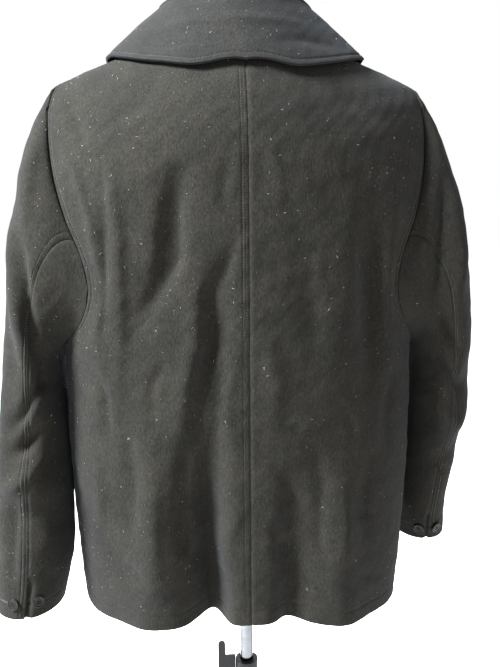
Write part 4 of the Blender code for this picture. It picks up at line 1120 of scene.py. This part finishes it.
def button_piece(node, inside):
    """A disc on a polar grid in its CAD node's place: height rises to a round rim,
    falls to a dish, and has four bell-shaped holes."""
    mesh = bpy.data.objects[node].data
    cad = np.empty(len(mesh.vertices) * 3)
    mesh.vertices.foreach_get("co", cad)
    cad = cad.reshape(-1, 3)
    centre = (cad.max(axis=0) + cad.min(axis=0)) / 2
    axes = np.linalg.svd(cad - cad.mean(axis=0), full_matrices=False)[2]
    normal = axes[2] * np.sign(axes[2] @ (centre - inside))
    flat_way = np.cross(normal, (0.0, 0.0, 1.0))
    flat_way = flat_way / np.linalg.norm(flat_way)
    other = np.cross(normal, flat_way)
    radius = FRONT_BUTTON_RADIUS if node.startswith("front") else BUTTON_RADIUS
    share, turn = np.meshgrid(np.linspace(0.0, 1.0, BUTTON_RINGS),
                              np.linspace(0, 2 * np.pi, BUTTON_TURNS + 1)[:-1])
    out = radius * np.minimum(share / EDGE_SHARE, 1.0)
    top = DISH_HEIGHT + RIM_RISE * smooth_step(0.62, 0.74, share)
    down = (share - EDGE_SHARE) / (1 - EDGE_SHARE)
    flank = DISH_HEIGHT + RIM_RISE - SIDE_DROP * down
    high = BUTTON_THICK * np.where(share < EDGE_SHARE, top, flank)
    high = high - EDGE_ROUND * smooth_step(0.80, EDGE_SHARE, share) * (share < EDGE_SHARE + 0.01)
    for quarter in range(4):
        angle = np.pi / 4 + quarter * np.pi / 2
        gap = np.hypot(out * np.cos(turn) - HOLE_OUT * np.cos(angle),
                       out * np.sin(turn) - HOLE_OUT * np.sin(angle))
        high = high - HOLE_DEPTH * np.exp(-((gap / HOLE_RADIUS) ** 4)) * (share < 0.6)
    points = (centre + out[..., None] * (np.cos(turn)[..., None] * flat_way
                                         + np.sin(turn)[..., None] * other)
              + high[..., None] * normal).reshape(-1, 3)
    row = np.arange(BUTTON_TURNS)[:, None] * BUTTON_RINGS
    outwards = np.arange(BUTTON_RINGS - 1)
    low = (row + outwards).ravel()
    beside = ((row + BUTTON_RINGS) % (BUTTON_TURNS * BUTTON_RINGS) + outwards).ravel()
    faces = np.stack([low, low + 1, beside + 1, beside], axis=1)
    obj = new_mesh(node.replace("button", "horn_button"), points, faces, horn)
    shape = bmesh.new()
    shape.from_mesh(obj.data)
    bmesh.ops.remove_doubles(shape, verts=shape.verts, dist=1e-6)
    bmesh.ops.holes_fill(shape, edges=[edge for edge in shape.edges if edge.is_boundary])
    bmesh.ops.recalc_face_normals(shape, faces=shape.faces)
    shape.to_mesh(obj.data)
    shape.free()
    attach(obj, "coat")
    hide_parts(node)


buttons = ["cuff_button_%s_%s" % (word, place) for word in ("left", "right")
           for place in ("outer", "inner")] + ["front_button_%d" % row for row in range(1, 5)]
for node in buttons:
    middle = np.array([list(corner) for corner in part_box(node)]).mean(axis=0)
    button_piece(node, middle * (INSIDE_SHARE, 0.0, 1.0))

# The stand: a chrome pole that slides in a black steel tube, a clamp collar with a
# flat lock handle, and a round base plate; the form is covered in plain cotton.
chrome, chrome_tree, chrome_shader = new_material("bright_chrome", Metallic=1.0)
chrome_place = add_node(chrome_tree, "ShaderNodeTexCoord")
chrome_rub = add_node(chrome_tree, "ShaderNodeTexNoise", {
    "Vector": chrome_place.outputs["Object"], "Scale": 90.0, "Detail": 4.0})
chrome_tone = add_node(chrome_tree, "ShaderNodeMixRGB", {
    "Fac": chrome_rub.outputs["Fac"], "Color1": (0.09, 0.093, 0.10, 1.0),
    "Color2": (0.17, 0.175, 0.185, 1.0)})
chrome_rough = add_node(chrome_tree, "ShaderNodeMapRange", {
    "Value": chrome_rub.outputs["Fac"], "To Min": 0.07, "To Max": 0.16})
chrome_tree.links.new(chrome_tone.outputs["Color"], chrome_shader.inputs["Base Color"])
chrome_tree.links.new(chrome_rough.outputs[0], chrome_shader.inputs["Roughness"])
steel, steel_tree, steel_shader = new_material("satin_black_steel", Specular_IOR_Level=0.12)
steel_place = add_node(steel_tree, "ShaderNodeTexCoord")
steel_grain = add_node(steel_tree, "ShaderNodeTexNoise", {
    "Vector": steel_place.outputs["Object"], "Scale": 420.0, "Detail": 3.0})
steel_tone = add_node(steel_tree, "ShaderNodeMixRGB", {
    "Fac": steel_grain.outputs["Fac"], "Color1": (0.008, 0.008, 0.009, 1.0),
    "Color2": (0.019, 0.019, 0.020, 1.0)})
steel_rough = add_node(steel_tree, "ShaderNodeMapRange", {
    "Value": steel_grain.outputs["Fac"], "To Min": 0.34, "To Max": 0.50})
steel_bump = add_node(steel_tree, "ShaderNodeBump", {
    "Height": steel_grain.outputs["Fac"], "Strength": 0.25, "Distance": 0.0003})
steel_tree.links.new(steel_tone.outputs["Color"], steel_shader.inputs["Base Color"])
steel_tree.links.new(steel_rough.outputs[0], steel_shader.inputs["Roughness"])
steel_tree.links.new(steel_bump.outputs["Normal"], steel_shader.inputs["Normal"])
cover, cover_tree, cover_shader = new_material("cotton_cover", Roughness=0.9,
                                               Sheen_Weight=0.15)
cover_place = add_node(cover_tree, "ShaderNodeTexCoord")
cover_weave = add_node(cover_tree, "ShaderNodeTexWave", {
    "Vector": cover_place.outputs["Object"], "Scale": 320.0, "Distortion": 1.2},
    bands_direction="Z")
cover_tone = add_node(cover_tree, "ShaderNodeMixRGB", {
    "Fac": cover_weave.outputs["Fac"], "Color1": (0.44, 0.41, 0.345, 1.0),
    "Color2": (0.55, 0.515, 0.445, 1.0)})
cover_bump = add_node(cover_tree, "ShaderNodeBump", {
    "Height": cover_weave.outputs["Fac"], "Strength": 0.4, "Distance": 0.0004})
cover_tree.links.new(cover_tone.outputs["Color"], cover_shader.inputs["Base Color"])
cover_tree.links.new(cover_bump.outputs["Normal"], cover_shader.inputs["Normal"])
for node, finish in (("lock_handle", steel), ("clamp_collar", steel), ("lower_tube", steel),
                     ("base_plate", steel), ("pole", chrome), ("dress_form", cover)):
    for socket in bpy.data.objects[node].material_slots:
        socket.material = finish
